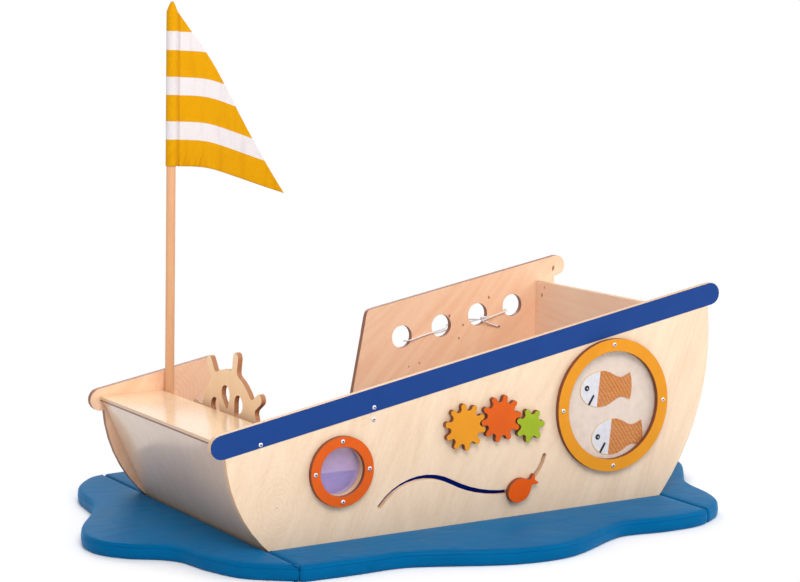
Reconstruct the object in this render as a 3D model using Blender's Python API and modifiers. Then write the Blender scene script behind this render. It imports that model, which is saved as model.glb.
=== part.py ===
"""Play boat: a plywood hull with a steering wheel, a mast with its pennant, meshing gears, a fish that
runs in a wave slot, two round windows and a laced rope, lying among foam mats cut like water.

Metres, +Z up, +X to the bow, +Y to the far side. The origin is on the floor, at the hull's middle."""

import math

import bmesh
import bpy
from mathutils import Matrix, Vector

# Clearances
GAP = 0.0003
RUNNING = 0.0006

# Plywood
SIDE = 0.018
BOARD = 0.015
EDGE = 0.0015

# Hull. Lengths along the boat are measured from the stern's foot at mat height and heights from the floor.
HULL_MIDDLE = 0.67
HULL_WIDTH = 0.8407
STERN_FOOT = 0.05
BOW_RAKE = 0.212
STERN_CURVE = 0.409
BOW_CURVE = 0.745
STERN_SHOULDER = -0.128
BOW_SHOULDER = 1.509
SHEER_HEIGHT = 0.4042
SHEER_ANGLE = math.radians(10.3486)
BAND = 0.067
BAND_SKIN = 0.0007
STERN_NOSE = 0.0445
BOW_NOSE = 0.042

# Entrance in the far side; its bow edge is measured back from the bow's shoulder
ENTRY_STERN_TOP = 0.245
ENTRY_STERN_BOTTOM = 0.302
ENTRY_BOW_TOP = -0.724
ENTRY_BOW_BOTTOM = -0.807
ENTRY_SILL = 0.15
ENTRY_TOP_ROUND = 0.02
ENTRY_BOTTOM_ROUND = 0.05

# Boards across the hull
TRANSOM_AT_MAT = 0.0
TRANSOM_RAKE = -0.448
DECK_TOP = 0.356
DECK_STERN = -0.142
DECK_FRONT = 0.0635
DECK_OVERHANG = 0.018
BOX_FRONT_FOOT = 0.02
CLEAT = 0.02
CLEAT_RUN = (-0.1, 0.03)
BOW_BOARD_INSET = 0.115
BOW_BOARD_TOP = 0.601
BOW_BOARD_FOOT = 0.24
BOW_LOWER_INSET = 0.022
BATTEN_AT = 0.335
BATTEN_WIDTH = 0.03
BATTEN_HEIGHTS = (0.35, 0.432)
FLOOR_MAT = 0.036

# Porthole
PORTHOLE_AT = (0.225, 0.241)
PORTHOLE_OUTER = 0.1
PORTHOLE_INNER = 0.07
PANE = 0.003

# Picture window. Lengths named BACK are measured from the bow's shoulder, and the fish from the window's middle.
WINDOW_BACK = -0.36
WINDOW_DROP = 0.27451
WINDOW_OUTER = 0.2
WINDOW_INNER = 0.163
WINDOW_REBATE = 0.009
WINDOW_COVER = 0.003
WINDOW_BOARD = 0.006
FISH_THICKNESS = 0.0015
FISH_HEADS = ((-0.11, 0.0495), (-0.067, -0.0985))
FISH_LENGTH = 0.189
FISH_HEIGHT = 0.108
FISH_NOSE = 0.39

# Gears
MODULE = 0.01236
GEAR = 0.015
GEAR_OFF_SIDE = 0.002
ORANGE_TEETH = 10
YELLOW_TEETH = 10
GREEN_TEETH = 7
TOOTH_TIP = 0.0072
TOOTH_ROOT = 0.0094
TOOTH_SQUARENESS = 1.3
ORANGE_BACK = -0.76
ORANGE_DROP = 0.20196
YELLOW_BEARING = math.radians(186)
GREEN_BEARING = math.radians(-16.7)
GEAR_AXLE = 0.008
AXLE_INLET = 0.008
CAP = 0.017
CAP_THICKNESS = 0.012

# Wave slot: a crest, a shallow trough and a tight upturn towards the bow
SLOT = 0.0135
CREST_BACK = -1.012
CREST_HEIGHT = 0.002
CREST = 0.19
TROUGH = 0.4
UPTURN_BACK = -0.724
UPTURN_HEIGHT = 0.247
UPTURN = 0.13
SLOT_BACK = -1.1565
SLOT_HEIGHT = 0.1225
SLOT_END_ANGLE = math.radians(74)
FISH_ANGLE = math.radians(12.7)
FISH_LONG = 0.041
FISH_SHORT = 0.034
FISH_TURN = math.radians(26.4)
FISH_TAIL = 0.0738
TAIL_SPREAD = math.radians(16.4)
TAIL_NOTCH = 0.059
TAIL_NECK = 0.0085
SLIDER_PIN = 0.0055
SLIDER_DISC = 0.024

# Steering wheel
WHEEL_AT = (-0.009, 0.294)
WHEEL_STANDOFF = 0.039
WHEEL_RIM = 0.183
WHEEL_REACH = 0.245
HANDLES = 8
HANDLE = 0.032
HANDLE_ROUND = 0.014
HANDLE_BEARING = math.radians(147)
OPENING_BEARING = math.radians(169.5)
OPENING_OUTER = 0.137
OPENING_INNER = 0.068
OPENING_WIDE = 0.0265
OPENING_NARROW = 0.008
WHEEL_AXLE = 0.01
WHEEL_BOSS = 0.025

# Mast and pennant
MAST = 0.014
MAST_TOP = 1.498
MAST_LEAN = math.atan(0.0225)
MAST_FOOT = 0.065
MAST_OFF_SIDE = 0.006
GUIDE = (0.285, 0.335)
FOOT_BLOCK = 0.125
BLOCK_WALL = 0.018
SLEEVE = 0.036
SLEEVE_EASE = 0.0013
HOIST = 0.49
POCKET = 0.032
POCKET_TIP = 0.003
PENNANT_FOOT = 0.384
PENNANT_LINE = 0.485
CLOTH = 0.0012
DROOP_START = 0.11
DROOP_SOFTNESS = 0.04
DROOP = 0.33
BILLOW = 0.011

# Lacing rope, its lengths measured from the bow's shoulder
LACING_HOLE = 0.0375
LACING_HOLES = ((-0.5953, 0.4523), (-0.4455, 0.4765), (-0.3045, 0.5037), (-0.168, 0.525))
ROPE = 0.0025
KNOT_AT = (-0.287, 0.4885)
KNOT = (0.014, 0.009, 0.011)

# Mats
MAT = 0.045
MAT_ROUND = 0.007

NEAR_OUT = -HULL_WIDTH / 2
NEAR_IN = NEAR_OUT + SIDE
FAR_IN = -NEAR_IN
FAR_OUT = -NEAR_OUT
DECK_UNDER = DECK_TOP - BOARD
BOX_FRONT = DECK_FRONT - DECK_OVERHANG
DOWN = math.radians(-90)

for old in list(bpy.data.objects):
    bpy.data.objects.remove(old)
boat = bpy.data.collections.new("play_boat")
cutters = bpy.data.collections.new("cutters")
cutters.hide_render = True
bpy.context.scene.collection.children.link(boat)
bpy.context.scene.collection.children.link(cutters)


def finish(name, colour, roughness=0.5, metallic=0.0):
    material = bpy.data.materials.new(name)
    material.use_nodes = True
    shader = material.node_tree.nodes["Principled BSDF"]
    shader.inputs["Base Color"].default_value = (*colour, 1)
    shader.inputs["Roughness"].default_value = roughness
    shader.inputs["Metallic"].default_value = metallic
    return material


PLY = finish("birch_ply", (0.87, 0.67, 0.45), 0.35)
DARK_PLY = finish("birch_ply_inside", (0.8, 0.5, 0.3), 0.4)
BEECH = finish("beech", (0.85, 0.5, 0.28), 0.4)
BLUE = finish("blue_paint", (0.018, 0.069, 0.28), 0.35)
ORANGE = finish("orange_paint", (0.77, 0.12, 0.017), 0.35)
YELLOW = finish("yellow_paint", (0.89, 0.36, 0.02), 0.35)
GREEN = finish("green_paint", (0.34, 0.49, 0.027), 0.35)
TINT = finish("violet_pane", (0.3, 0.22, 0.45), 0.05)
CLEAR = finish("clear_pane", (0.9, 0.9, 0.9), 0.05)
FELT = finish("felt", (0.73, 0.63, 0.5), 0.95)
FISH_BROWN = finish("fish_ply", (0.58, 0.22, 0.06), 0.5)
COTTON = finish("white_rope", (0.85, 0.85, 0.83), 0.9)
FLAG_CLOTH = finish("flag_cloth", (0.87, 0.4, 0.01), 0.8)
MAT_SKIN = finish("mat_skin", (0.01, 0.13, 0.38), 0.45)


def at(along, across, height):
    """A point from its length along the template, its place across the boat and its height."""
    return Vector((along - HULL_MIDDLE, across, height))


def show(name, mesh, material, place=(0, 0, 0), turn=(0, 0, 0), home=boat):
    obj = bpy.data.objects.new(name, mesh)
    obj.location = place
    obj.rotation_euler = turn
    home.objects.link(obj)
    if material:
        mesh.materials.clear()
        mesh.materials.append(material)
    if home is cutters:
        obj.hide_render = True
        obj.display_type = "WIRE"
    return obj


def arc(centre, radius, start, end, steps):
    """Points on a circle from one angle to another, both ends included."""
    angles = [start + (end - start) * i / steps for i in range(steps + 1)]
    return [(centre[0] + radius * math.cos(a), centre[1] + radius * math.sin(a)) for a in angles]


def circle(centre, radius, steps):
    return arc(centre, radius, 0, 2 * math.pi, steps)[:-1]


def bulge_centre(start, end, radius):
    """Centre of the arc between two points that swells to the right of the way from start to end."""
    half = (Vector(end) - Vector(start)) / 2
    left = Vector((-half.y, half.x)).normalized()
    return Vector(start) + half + left * math.sqrt(radius**2 - half.length_squared)


def bulge(start, end, radius, steps):
    centre = bulge_centre(start, end, radius)
    first = math.atan2(start[1] - centre.y, start[0] - centre.x)
    last = math.atan2(end[1] - centre.y, end[0] - centre.x)
    if last < first:
        last += 2 * math.pi
    return arc(centre, radius, first, last, steps)


def rounded(corners, steps=4):
    """A closed outline whose corners (x, y, radius) are rounded, or kept sharp at radius 0."""
    ring = []
    for i, (x, y, radius) in enumerate(corners):
        here = Vector((x, y))
        if not radius:
            ring.append((x, y))
            continue
        before = (Vector(corners[i - 1][:2]) - here).normalized()
        after = (Vector(corners[(i + 1) % len(corners)][:2]) - here).normalized()
        half = before.angle(after) / 2
        centre = here + (before + after).normalized() * radius / math.sin(half)
        tangent = radius / math.tan(half)
        first = here + before * tangent - centre
        last = here + after * tangent - centre
        start = math.atan2(first.y, first.x)
        sweep = (math.atan2(last.y, last.x) - start + math.pi) % (2 * math.pi) - math.pi
        ring += arc(centre, radius, start, start + sweep, steps)
    return ring


FACING = {"side": (math.pi / 2, 0, 0), "end": (math.pi / 2, 0, math.pi / 2), "floor": (0, 0, 0)}


def sheet(name, rings, thickness, facing, place, material, edge=0.0, smooth=False, home=boat):
    """A flat piece: closed outlines, each later one a hole, filled and given its thickness both ways.

    A side piece has its outline in length and height, an end piece across and up."""
    curve = bpy.data.curves.new(name, "CURVE")
    curve.dimensions = "2D"
    curve.fill_mode = "BOTH"
    curve.extrude = thickness / 2
    for ring in rings:
        spline = curve.splines.new("POLY")
        spline.points.add(len(ring) - 1)
        for point, (x, y) in zip(spline.points, ring):
            point.co = (x, y, 0, 1)
        spline.use_cyclic_u = True
    drawn = bpy.data.objects.new(name, curve)
    boat.objects.link(drawn)
    bpy.context.view_layer.update()
    mesh = bpy.data.meshes.new_from_object(drawn.evaluated_get(bpy.context.evaluated_depsgraph_get()))
    bpy.data.objects.remove(drawn)
    bpy.data.curves.remove(curve)
    weld = bmesh.new()
    weld.from_mesh(mesh)
    bmesh.ops.remove_doubles(weld, verts=weld.verts, dist=1e-6)
    bmesh.ops.recalc_face_normals(weld, faces=weld.faces)
    weld.to_mesh(mesh)
    weld.free()
    if smooth:
        mesh.shade_smooth()
        mesh.set_sharp_from_angle(angle=math.radians(35))
    obj = show(name, mesh, material, place, FACING[facing], home)
    if edge:
        soften(obj, edge)
    return obj


def soften(obj, width, segments=1):
    bevel = obj.modifiers.new("rounded_edges", "BEVEL")
    bevel.width = width
    bevel.segments = segments
    bevel.limit_method = "ANGLE"
    bevel.angle_limit = math.radians(50)
    return obj


def rod(name, radius, length, place, axis, material, steps=24, home=boat, edge=0.0):
    """A round bar centred on a place, along an axis."""
    form = bmesh.new()
    bmesh.ops.create_cone(
        form, cap_ends=True, segments=steps, radius1=radius, radius2=radius, depth=length
    )
    mesh = bpy.data.meshes.new(name)
    form.to_mesh(mesh)
    form.free()
    mesh.shade_smooth()
    mesh.set_sharp_from_angle(angle=math.radians(35))
    turn = Vector((0, 0, 1)).rotation_difference(Vector(axis)).to_euler()
    obj = show(name, mesh, material, place, turn, home)
    if edge:
        soften(obj, edge)
    return obj


def block(name, low, high, material, home=boat):
    """A box between two corners."""
    low, high = Vector(low), Vector(high)
    form = bmesh.new()
    bmesh.ops.create_cube(form, size=1, matrix=Matrix.Diagonal((*(high - low), 1)))
    mesh = bpy.data.meshes.new(name)
    form.to_mesh(mesh)
    form.free()
    return show(name, mesh, material, (low + high) / 2, home=home)


def cut(obj, tool):
    boolean = obj.modifiers.new("cut", "BOOLEAN")
    boolean.operation = "DIFFERENCE"
    boolean.solver = "EXACT"
    boolean.object = tool
    return obj


def sheer(along):
    """Height of the side's top edge."""
    return SHEER_HEIGHT + math.tan(SHEER_ANGLE) * along


STERN_TIP = STERN_SHOULDER - STERN_NOSE
BOW_TIP = BOW_SHOULDER + BOW_NOSE
BOW_BOARD_AT = BOW_TIP - BOW_BOARD_INSET
BOW_FOOT = BOW_SHOULDER - BOW_RAKE
BOW_LOWER_FOOT = BOW_FOOT - BOW_LOWER_INSET
ENTRY_TOP = (ENTRY_STERN_TOP, BOW_SHOULDER + ENTRY_BOW_TOP)
ENTRY_BOTTOM = (ENTRY_STERN_BOTTOM, BOW_SHOULDER + ENTRY_BOW_BOTTOM)
WINDOW_AT = (BOW_SHOULDER + WINDOW_BACK, sheer(BOW_SHOULDER + WINDOW_BACK) - WINDOW_DROP)
ORANGE_AT = (BOW_SHOULDER + ORANGE_BACK, sheer(BOW_SHOULDER + ORANGE_BACK) - ORANGE_DROP)
CREST_CENTRE = (BOW_SHOULDER + CREST_BACK, CREST_HEIGHT)
UPTURN_CENTRE = (BOW_SHOULDER + UPTURN_BACK, UPTURN_HEIGHT)
SLOT_START = (BOW_SHOULDER + SLOT_BACK, SLOT_HEIGHT)
BAND_DEPTH = BAND / math.cos(SHEER_ANGLE)


def band_centre(tip, towards):
    """Centre of the round end of the blue band whose tip is given."""
    along = tip + towards * BAND / 2
    return (along, sheer(along) - BAND_DEPTH / 2)


STERN_ROUND = band_centre(STERN_TIP, 1)
BOW_ROUND = band_centre(BOW_TIP, -1)
BOW_END = arc(BOW_ROUND, BAND / 2, SHEER_ANGLE + DOWN, SHEER_ANGLE - DOWN, 9)
STERN_END = arc(STERN_ROUND, BAND / 2, SHEER_ANGLE - DOWN, SHEER_ANGLE - 3 * DOWN, 9)


# The curves of the bow and the stern: where each starts and ends, and its radius
BOW_LINE = ((BOW_FOOT, 0), (BOW_SHOULDER, sheer(BOW_SHOULDER) - BAND_DEPTH), BOW_CURVE)
STERN_LINE = ((STERN_SHOULDER, sheer(STERN_SHOULDER) - BAND_DEPTH), (STERN_FOOT, 0), STERN_CURVE)


def hull_end(line, height, way):
    """Length at which the bow's or the stern's curve stands at a height."""
    centre = bulge_centre(*line)
    return centre.x + way * math.sqrt(line[2] ** 2 - (height - centre.y) ** 2)


def side_outline(opening):
    """Outline of a side: foot, bow curve, round bow end, top edge with its opening, stern end and curve."""
    return bulge(*BOW_LINE, 10) + BOW_END + opening + STERN_END + bulge(*STERN_LINE, 8)


def entry():
    """The entrance's edge from the bow side round to the stern side, as part of the top edge."""
    bow, stern = ENTRY_TOP[1], ENTRY_TOP[0]
    corners = [
        (BOW_TIP, sheer(BOW_TIP), 0),
        (bow, sheer(bow), ENTRY_TOP_ROUND),
        (ENTRY_BOTTOM[1], ENTRY_SILL, ENTRY_BOTTOM_ROUND),
        (ENTRY_BOTTOM[0], ENTRY_SILL, ENTRY_BOTTOM_ROUND),
        (stern, sheer(stern), ENTRY_TOP_ROUND),
        (STERN_TIP, sheer(STERN_TIP), 0),
    ]
    return rounded(corners)[1:-1]


def turned_from(centre, distance, bearing):
    return (centre[0] + distance * math.cos(bearing), centre[1] + distance * math.sin(bearing))


# Gear centres lie a pitch apart, and each tooth faces a gap of the next gear.
YELLOW_AT = turned_from(ORANGE_AT, MODULE * (ORANGE_TEETH + YELLOW_TEETH) / 2, YELLOW_BEARING)
GREEN_AT = turned_from(ORANGE_AT, MODULE * (ORANGE_TEETH + GREEN_TEETH) / 2, GREEN_BEARING)


def meshing_phase(driver_phase, driver_teeth, teeth, bearing):
    """Angle of a tooth of the driven gear that lies at a bearing from its driver."""
    pitch = 2 * math.pi / driver_teeth
    ahead = (driver_phase - bearing) % pitch
    gap = bearing + math.pi - ahead * driver_teeth / teeth
    return gap + math.pi / teeth


ORANGE_PHASE = YELLOW_BEARING
YELLOW_PHASE = meshing_phase(ORANGE_PHASE, ORANGE_TEETH, YELLOW_TEETH, YELLOW_BEARING)
GREEN_PHASE = meshing_phase(ORANGE_PHASE, ORANGE_TEETH, GREEN_TEETH, GREEN_BEARING)


def gear_outline(teeth, phase, steps=10):
    """Round-tipped teeth: the radius swings between tip and root as a squared-off cosine."""
    pitch = MODULE * teeth / 2
    middle = pitch + (TOOTH_TIP - TOOTH_ROOT) / 2
    swing = (TOOTH_TIP + TOOTH_ROOT) / 2
    ring = []
    for i in range(teeth * steps):
        angle = 2 * math.pi * i / (teeth * steps)
        wave = math.tanh(TOOTH_SQUARENESS * math.cos(teeth * angle)) / math.tanh(TOOTH_SQUARENESS)
        ring.append(turned_from((0, 0), middle + swing * wave, angle + phase))
    return ring


def slot_outline():
    """The wave slot: three tangent arcs, widened to the slot's width and closed by round ends."""
    crest, upturn = Vector(CREST_CENTRE), Vector(UPTURN_CENTRE)
    reach, back = CREST + TROUGH, TROUGH - UPTURN
    span = (upturn - crest).length
    along = (reach**2 - back**2 + span**2) / (2 * span)
    aside = math.sqrt(reach**2 - along**2)
    way = (upturn - crest) / span
    trough = crest + way * along + Vector((-way.y, way.x)) * aside
    start = math.atan2(SLOT_START[1] - crest.y, SLOT_START[0] - crest.x)
    turn = math.atan2(trough.y - crest.y, trough.x - crest.x)
    bottom = math.atan2(upturn.y - trough.y, upturn.x - trough.x)
    end = DOWN + SLOT_END_ANGLE
    half = SLOT / 2
    upper, lower = [], []
    for ring, side in ((upper, 1), (lower, -1)):
        ring += arc(crest, CREST + side * half, start, turn, 9)
        ring += arc(trough, TROUGH - side * half, turn - math.pi, bottom, 6)[1:]
        ring += arc(upturn, UPTURN - side * half, bottom, end, 8)[1:]
    first = arc(turned_from(crest, CREST, start), half, start, start + math.pi, 5)
    last = arc(turned_from(upturn, UPTURN, end), half, end, end + math.pi, 5)
    return lower + last[1:-1] + upper[::-1] + first[1:-1]


# The two sides, cut from one template
side_place = at(0, NEAR_OUT + SIDE / 2, 0)
axle_holes = [circle(c, GEAR_AXLE + RUNNING, 16) for c in (YELLOW_AT, ORANGE_AT, GREEN_AT)]
near_rings = [
    side_outline([]),
    circle(PORTHOLE_AT, PORTHOLE_INNER, 36),
    circle(WINDOW_AT, WINDOW_INNER + WINDOW_REBATE, 56),
    slot_outline(),
    *axle_holes,
]
sheet("near_side_panel", near_rings, SIDE, "side", side_place, PLY)
far_rings = [side_outline(entry())] + [circle((BOW_SHOULDER + x, z), LACING_HOLE, 24) for x, z in LACING_HOLES]
sheet("far_side_panel", far_rings, SIDE, "side", at(0, FAR_OUT - SIDE / 2, 0), DARK_PLY)


# Blue band along the top edge, a thin skin on the outer faces
def band_cut(top, foot, away):
    """The band's end at the entrance, from its lower edge up, with the corner taken off."""
    slant = (foot - top) / (sheer(top) - ENTRY_SILL)
    drop = BAND_DEPTH / (1 + math.tan(SHEER_ANGLE) * slant)
    shoulder = top + slant * ENTRY_TOP_ROUND
    edge = top + away * ENTRY_TOP_ROUND
    low = (top + slant * drop, sheer(top) - drop)
    return [low, (shoulder, sheer(top) - ENTRY_TOP_ROUND), (edge, sheer(edge))]


def band(name, ring, outside, way):
    return sheet(name, [ring], BAND_SKIN, "side", at(0, outside + way * (GAP + BAND_SKIN / 2), 0), BLUE)


band("near_blue_stripe", BOW_END + STERN_END, NEAR_OUT, -1)
stern_cut = band_cut(ENTRY_TOP[0], ENTRY_BOTTOM[0], -1)
bow_cut = band_cut(ENTRY_TOP[1], ENTRY_BOTTOM[1], 1)
band("far_blue_stripe_stern", stern_cut + STERN_END, FAR_OUT, 1)
band("far_blue_stripe_bow", BOW_END + bow_cut[::-1], FAR_OUT, 1)


# Boards between the sides, each an outline in length and height that runs across the hull
def across(name, ring, material, edge=0.0):
    return sheet(name, [ring], 2 * (FAR_IN - GAP), "side", at(0, 0, 0), material, edge)


def leaning(foot, top, thickness):
    """Outline of a board on the floor from foot to top, with its thickness to the right of the way up."""
    way = (Vector(top) - Vector(foot)).normalized()
    level = thickness / way.y
    return [foot, (foot[0] + level, foot[1]), (top[0] + level, top[1]), top]


def transom_at(height):
    return TRANSOM_AT_MAT + TRANSOM_RAKE * (height - MAT)


transom_top = DECK_UNDER - GAP
across("transom", leaning((transom_at(0), 0), (transom_at(transom_top), transom_top), BOARD), PLY)
across("stern_deck", [(DECK_STERN, DECK_UNDER), (DECK_FRONT, DECK_UNDER), (DECK_FRONT, DECK_TOP),
                      (DECK_STERN, DECK_TOP)], PLY, EDGE)
for name, inner, way in (("deck_cleat_near", NEAR_IN, 1), ("deck_cleat_far", FAR_IN, -1)):
    edges = sorted((inner + way * GAP, inner + way * CLEAT))
    low = at(CLEAT_RUN[0], edges[0], DECK_UNDER - GAP - CLEAT)
    block(name, low, at(CLEAT_RUN[1] - GAP, edges[1], DECK_UNDER - GAP), BEECH)

# The deck box's front board carries the wheel's axle
front_middle = BOX_FRONT - BOARD / 2
front_half = FAR_IN - GAP
front_top = DECK_UNDER - GAP
front_ring = [(-front_half, BOX_FRONT_FOOT), (front_half, BOX_FRONT_FOOT), (front_half, front_top),
              (-front_half, front_top)]
front_rings = [front_ring, circle(WHEEL_AT, WHEEL_AXLE + RUNNING, 24)]
sheet("box_front_board", front_rings, BOARD, "end", at(front_middle, 0, 0), PLY)

bow_foot = (BOW_BOARD_AT, BOW_BOARD_FOOT)
bow_board = [bow_foot, (BOW_BOARD_AT + BOARD, BOW_BOARD_FOOT), (BOW_BOARD_AT + BOARD, BOW_BOARD_TOP),
             (BOW_BOARD_AT, BOW_BOARD_TOP)]
across("bow_board", bow_board, PLY, EDGE)
across("bow_lower_board", leaning((BOW_LOWER_FOOT, 0), (BOW_BOARD_AT, BOW_BOARD_FOOT - GAP), BOARD), PLY)
batten_low = at(BATTEN_AT - BATTEN_WIDTH / 2, NEAR_IN + GAP, BATTEN_HEIGHTS[0])
block("near_inner_batten", batten_low, at(BATTEN_AT + BATTEN_WIDTH / 2, NEAR_IN + CLEAT, BATTEN_HEIGHTS[1]), BEECH)
floor_low = at(BOX_FRONT + GAP, NEAR_IN + GAP, 0)
block("floor_mat", floor_low, at(BOW_LOWER_FOOT - GAP, FAR_IN - GAP, FLOOR_MAT), MAT_SKIN)


# Round windows
def ring_piece(name, centre, outer, inner, thickness, front, material, edge=0.0, steps=48):
    """A ring or disc on the near side whose front face lies at the given place across the boat."""
    rings = [circle((0, 0), outer, steps)]
    if inner:
        rings.append(circle((0, 0), inner, steps))
    place = at(centre[0], front + thickness / 2, centre[1])
    return sheet(name, rings, thickness, "side", place, material, edge, smooth=True)


ring_piece("porthole_ring", PORTHOLE_AT, PORTHOLE_OUTER, PORTHOLE_INNER, BOARD, NEAR_OUT - GAP - BOARD, ORANGE,
           EDGE, 40)
ring_piece("porthole_pane", PORTHOLE_AT, PORTHOLE_OUTER, 0, PANE, NEAR_IN + GAP, TINT, 0, 40)
ring_piece("porthole_inner_ring", PORTHOLE_AT, PORTHOLE_OUTER, PORTHOLE_INNER, BOARD, NEAR_IN + PANE + 2 * GAP,
           PLY, 0, 40)

rebate = WINDOW_INNER + WINDOW_REBATE - RUNNING
fish_front = NEAR_OUT + WINDOW_COVER + GAP
disc_front = fish_front + FISH_THICKNESS + GAP
ring_piece("window_ring", WINDOW_AT, WINDOW_OUTER, WINDOW_INNER, BOARD, NEAR_OUT - GAP - BOARD, YELLOW, EDGE, 56)
ring_piece("window_cover", WINDOW_AT, rebate, 0, WINDOW_COVER, NEAR_OUT, CLEAR, 0, 56)
ring_piece("picture_disc", WINDOW_AT, rebate, 0, NEAR_IN - disc_front, disc_front, FELT, 0, 56)
ring_piece("window_back_board", WINDOW_AT, WINDOW_OUTER, 0, WINDOW_BOARD, NEAR_IN + GAP, PLY, 0, 56)


def picture_fish(head):
    """A fish that swims to the stern: round head, back and belly that draw in to a spread tail. It is trimmed
    where it would run under the window's ring into the side."""
    half = FISH_HEIGHT / 2
    nose = [(FISH_NOSE * (1 + x), y) for x, y in arc((0, 0), 1, math.radians(90), math.radians(270), 14)]
    belly = [(0.5, -0.97), (0.6, -0.83), (0.69, -0.65), (0.77, -0.55), (0.84, -0.57), (0.965, -0.76), (0.99, -0.4)]
    back = [(x, -y) for x, y in belly[::-1]]
    ring = []
    for x, y in nose + belly + [(1, 0)] + back:
        place = Vector(head) + Vector((x * FISH_LENGTH, y * half))
        place.length = min(place.length, rebate)
        ring.append(tuple(place))
    return ring


for name, head in zip(("upper_fish", "lower_fish"), FISH_HEADS):
    place = at(WINDOW_AT[0], fish_front + FISH_THICKNESS / 2, WINDOW_AT[1])
    sheet(name, [picture_fish(head)], FISH_THICKNESS, "side", place, FISH_BROWN)


# Gears, each glued to a dowel that turns in the side and is kept in by a cap inside
GEAR_FACE = NEAR_OUT - GEAR_OFF_SIDE - GEAR
gears = (
    ("yellow_gear", YELLOW_AT, YELLOW_TEETH, YELLOW_PHASE, YELLOW),
    ("orange_gear", ORANGE_AT, ORANGE_TEETH, ORANGE_PHASE, ORANGE),
    ("green_gear", GREEN_AT, GREEN_TEETH, GREEN_PHASE, GREEN),
)


def inlet(obj, radius, depth, back):
    """A blind hole in the back of a piece on the near side, for the dowel it is glued to."""
    place = obj.location.copy()
    place.y = back - depth / 2 + RUNNING
    tool = rod(obj.name + "_inlet", radius + GAP, depth + 2 * RUNNING, place, (0, 1, 0), None, 16, cutters)
    return cut(obj, tool)


for name, centre, teeth, phase, material in gears:
    place = at(centre[0], GEAR_FACE + GEAR / 2, centre[1])
    gear = sheet(name, [gear_outline(teeth, phase)], GEAR, "side", place, material, EDGE, smooth=True)
    inlet(gear, GEAR_AXLE, AXLE_INLET, GEAR_FACE + GEAR)
    start = GEAR_FACE + GEAR - AXLE_INLET
    stop = NEAR_IN + RUNNING + CAP_THICKNESS
    middle = at(centre[0], (start + stop) / 2, centre[1])
    rod(name + "_axle", GEAR_AXLE, stop - start, middle, (0, 1, 0), BEECH, 16)
    ring_piece(name + "_cap", centre, CAP, GEAR_AXLE + GAP, CAP_THICKNESS, NEAR_IN + RUNNING, BEECH, 0, 20)

# Fish that runs in the wave slot: it swivels on a pin whose disc inside keeps it on the side
PIN_AT = turned_from(UPTURN_CENTRE, UPTURN, DOWN + FISH_ANGLE)


def slider_fish_outline():
    """An egg-shaped body with its pin at the middle and a forked tail along its length."""
    body = [(FISH_LONG * math.cos(a), FISH_SHORT * math.sin(a), 0) for a in
            [math.radians(22 + 316 * i / 26) for i in range(27)]]
    tips = [turned_from((0, 0), FISH_TAIL, way * TAIL_SPREAD) for way in (-1, 1)]
    neck = FISH_LONG + 0.005
    tail = [(neck, -TAIL_NECK, 0.006), (*tips[0], 0.003), (TAIL_NOTCH, 0, 0.003), (*tips[1], 0.003),
            (neck, TAIL_NECK, 0.006)]
    return rounded(body + tail, 3)


upturn_pivot = bpy.data.objects.new("upturn_pivot", None)
upturn_pivot.location = at(UPTURN_CENTRE[0], NEAR_OUT, UPTURN_CENTRE[1])
boat.objects.link(upturn_pivot)
fish_place = at(PIN_AT[0], GEAR_FACE + GEAR / 2, PIN_AT[1])
slider_fish = sheet("slider_fish", [slider_fish_outline()], GEAR, "side", fish_place, ORANGE, EDGE, smooth=True)
slider_fish.rotation_euler.rotate_axis("Z", FISH_TURN)
inlet(slider_fish, SLIDER_PIN, AXLE_INLET, GEAR_FACE + GEAR)
pin_start = GEAR_FACE + GEAR - AXLE_INLET
pin_stop = NEAR_IN + RUNNING + CAP_THICKNESS
pin_middle = at(PIN_AT[0], (pin_start + pin_stop) / 2, PIN_AT[1])
slider_pin = rod("slider_pin", SLIDER_PIN, pin_stop - pin_start, pin_middle, (0, 1, 0), BEECH, 16)
slider_disc = ring_piece("slider_back_disc", PIN_AT, SLIDER_DISC, SLIDER_PIN + GAP, CAP_THICKNESS,
                         NEAR_IN + RUNNING, BEECH, 0, 24)
for piece in (slider_pin, slider_disc):
    piece.parent = upturn_pivot
    piece.location -= upturn_pivot.location


# Steering wheel, cut from one board with its handles, on an axle through the deck box
def wheel_outline():
    corners = []
    reach = WHEEL_REACH - HANDLE / 2
    root = math.sqrt(WHEEL_RIM**2 - (HANDLE / 2) ** 2)
    for k in range(HANDLES):
        bearing = HANDLE_BEARING + 2 * math.pi * k / HANDLES
        between = math.pi / HANDLES
        tip = [(x, y, 0) for x, y in arc((reach, 0), HANDLE / 2, DOWN, -DOWN, 8)]
        rim = [(*turned_from((0, 0), WHEEL_RIM, between * share), 0) for share in (0.65, 1, 1.35)]
        local = [(root, -HANDLE / 2, HANDLE_ROUND), *tip, (root, HANDLE / 2, HANDLE_ROUND), *rim]
        c, s = math.cos(bearing), math.sin(bearing)
        corners += [(c * x - s * y, s * x + c * y, r) for x, y, r in local]
    return rounded(corners, 3)


def wheel_opening(bearing):
    """A teardrop between two spokes: a wide and a narrow round joined by straight sides."""
    wide, narrow = OPENING_OUTER - OPENING_WIDE, OPENING_INNER + OPENING_NARROW
    side = math.acos((OPENING_WIDE - OPENING_NARROW) / (wide - narrow))
    drop = arc((wide, 0), OPENING_WIDE, side - math.pi, math.pi - side, 9)
    drop += arc((narrow, 0), OPENING_NARROW, math.pi - side, math.pi + side, 4)
    c, s = math.cos(bearing), math.sin(bearing)
    return [(c * x - s * y, s * x + c * y) for x, y in drop]


def axle_piece(name, outer, inner, start, stop, material, steps=28):
    """A ring round the wheel's axle between two places along the boat."""
    rings = [circle((0, 0), outer, steps)]
    if inner:
        rings.append(circle((0, 0), inner, steps))
    place = at((start + stop) / 2, *WHEEL_AT)
    return sheet(name, rings, stop - start, "end", place, material, smooth=True)


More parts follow.
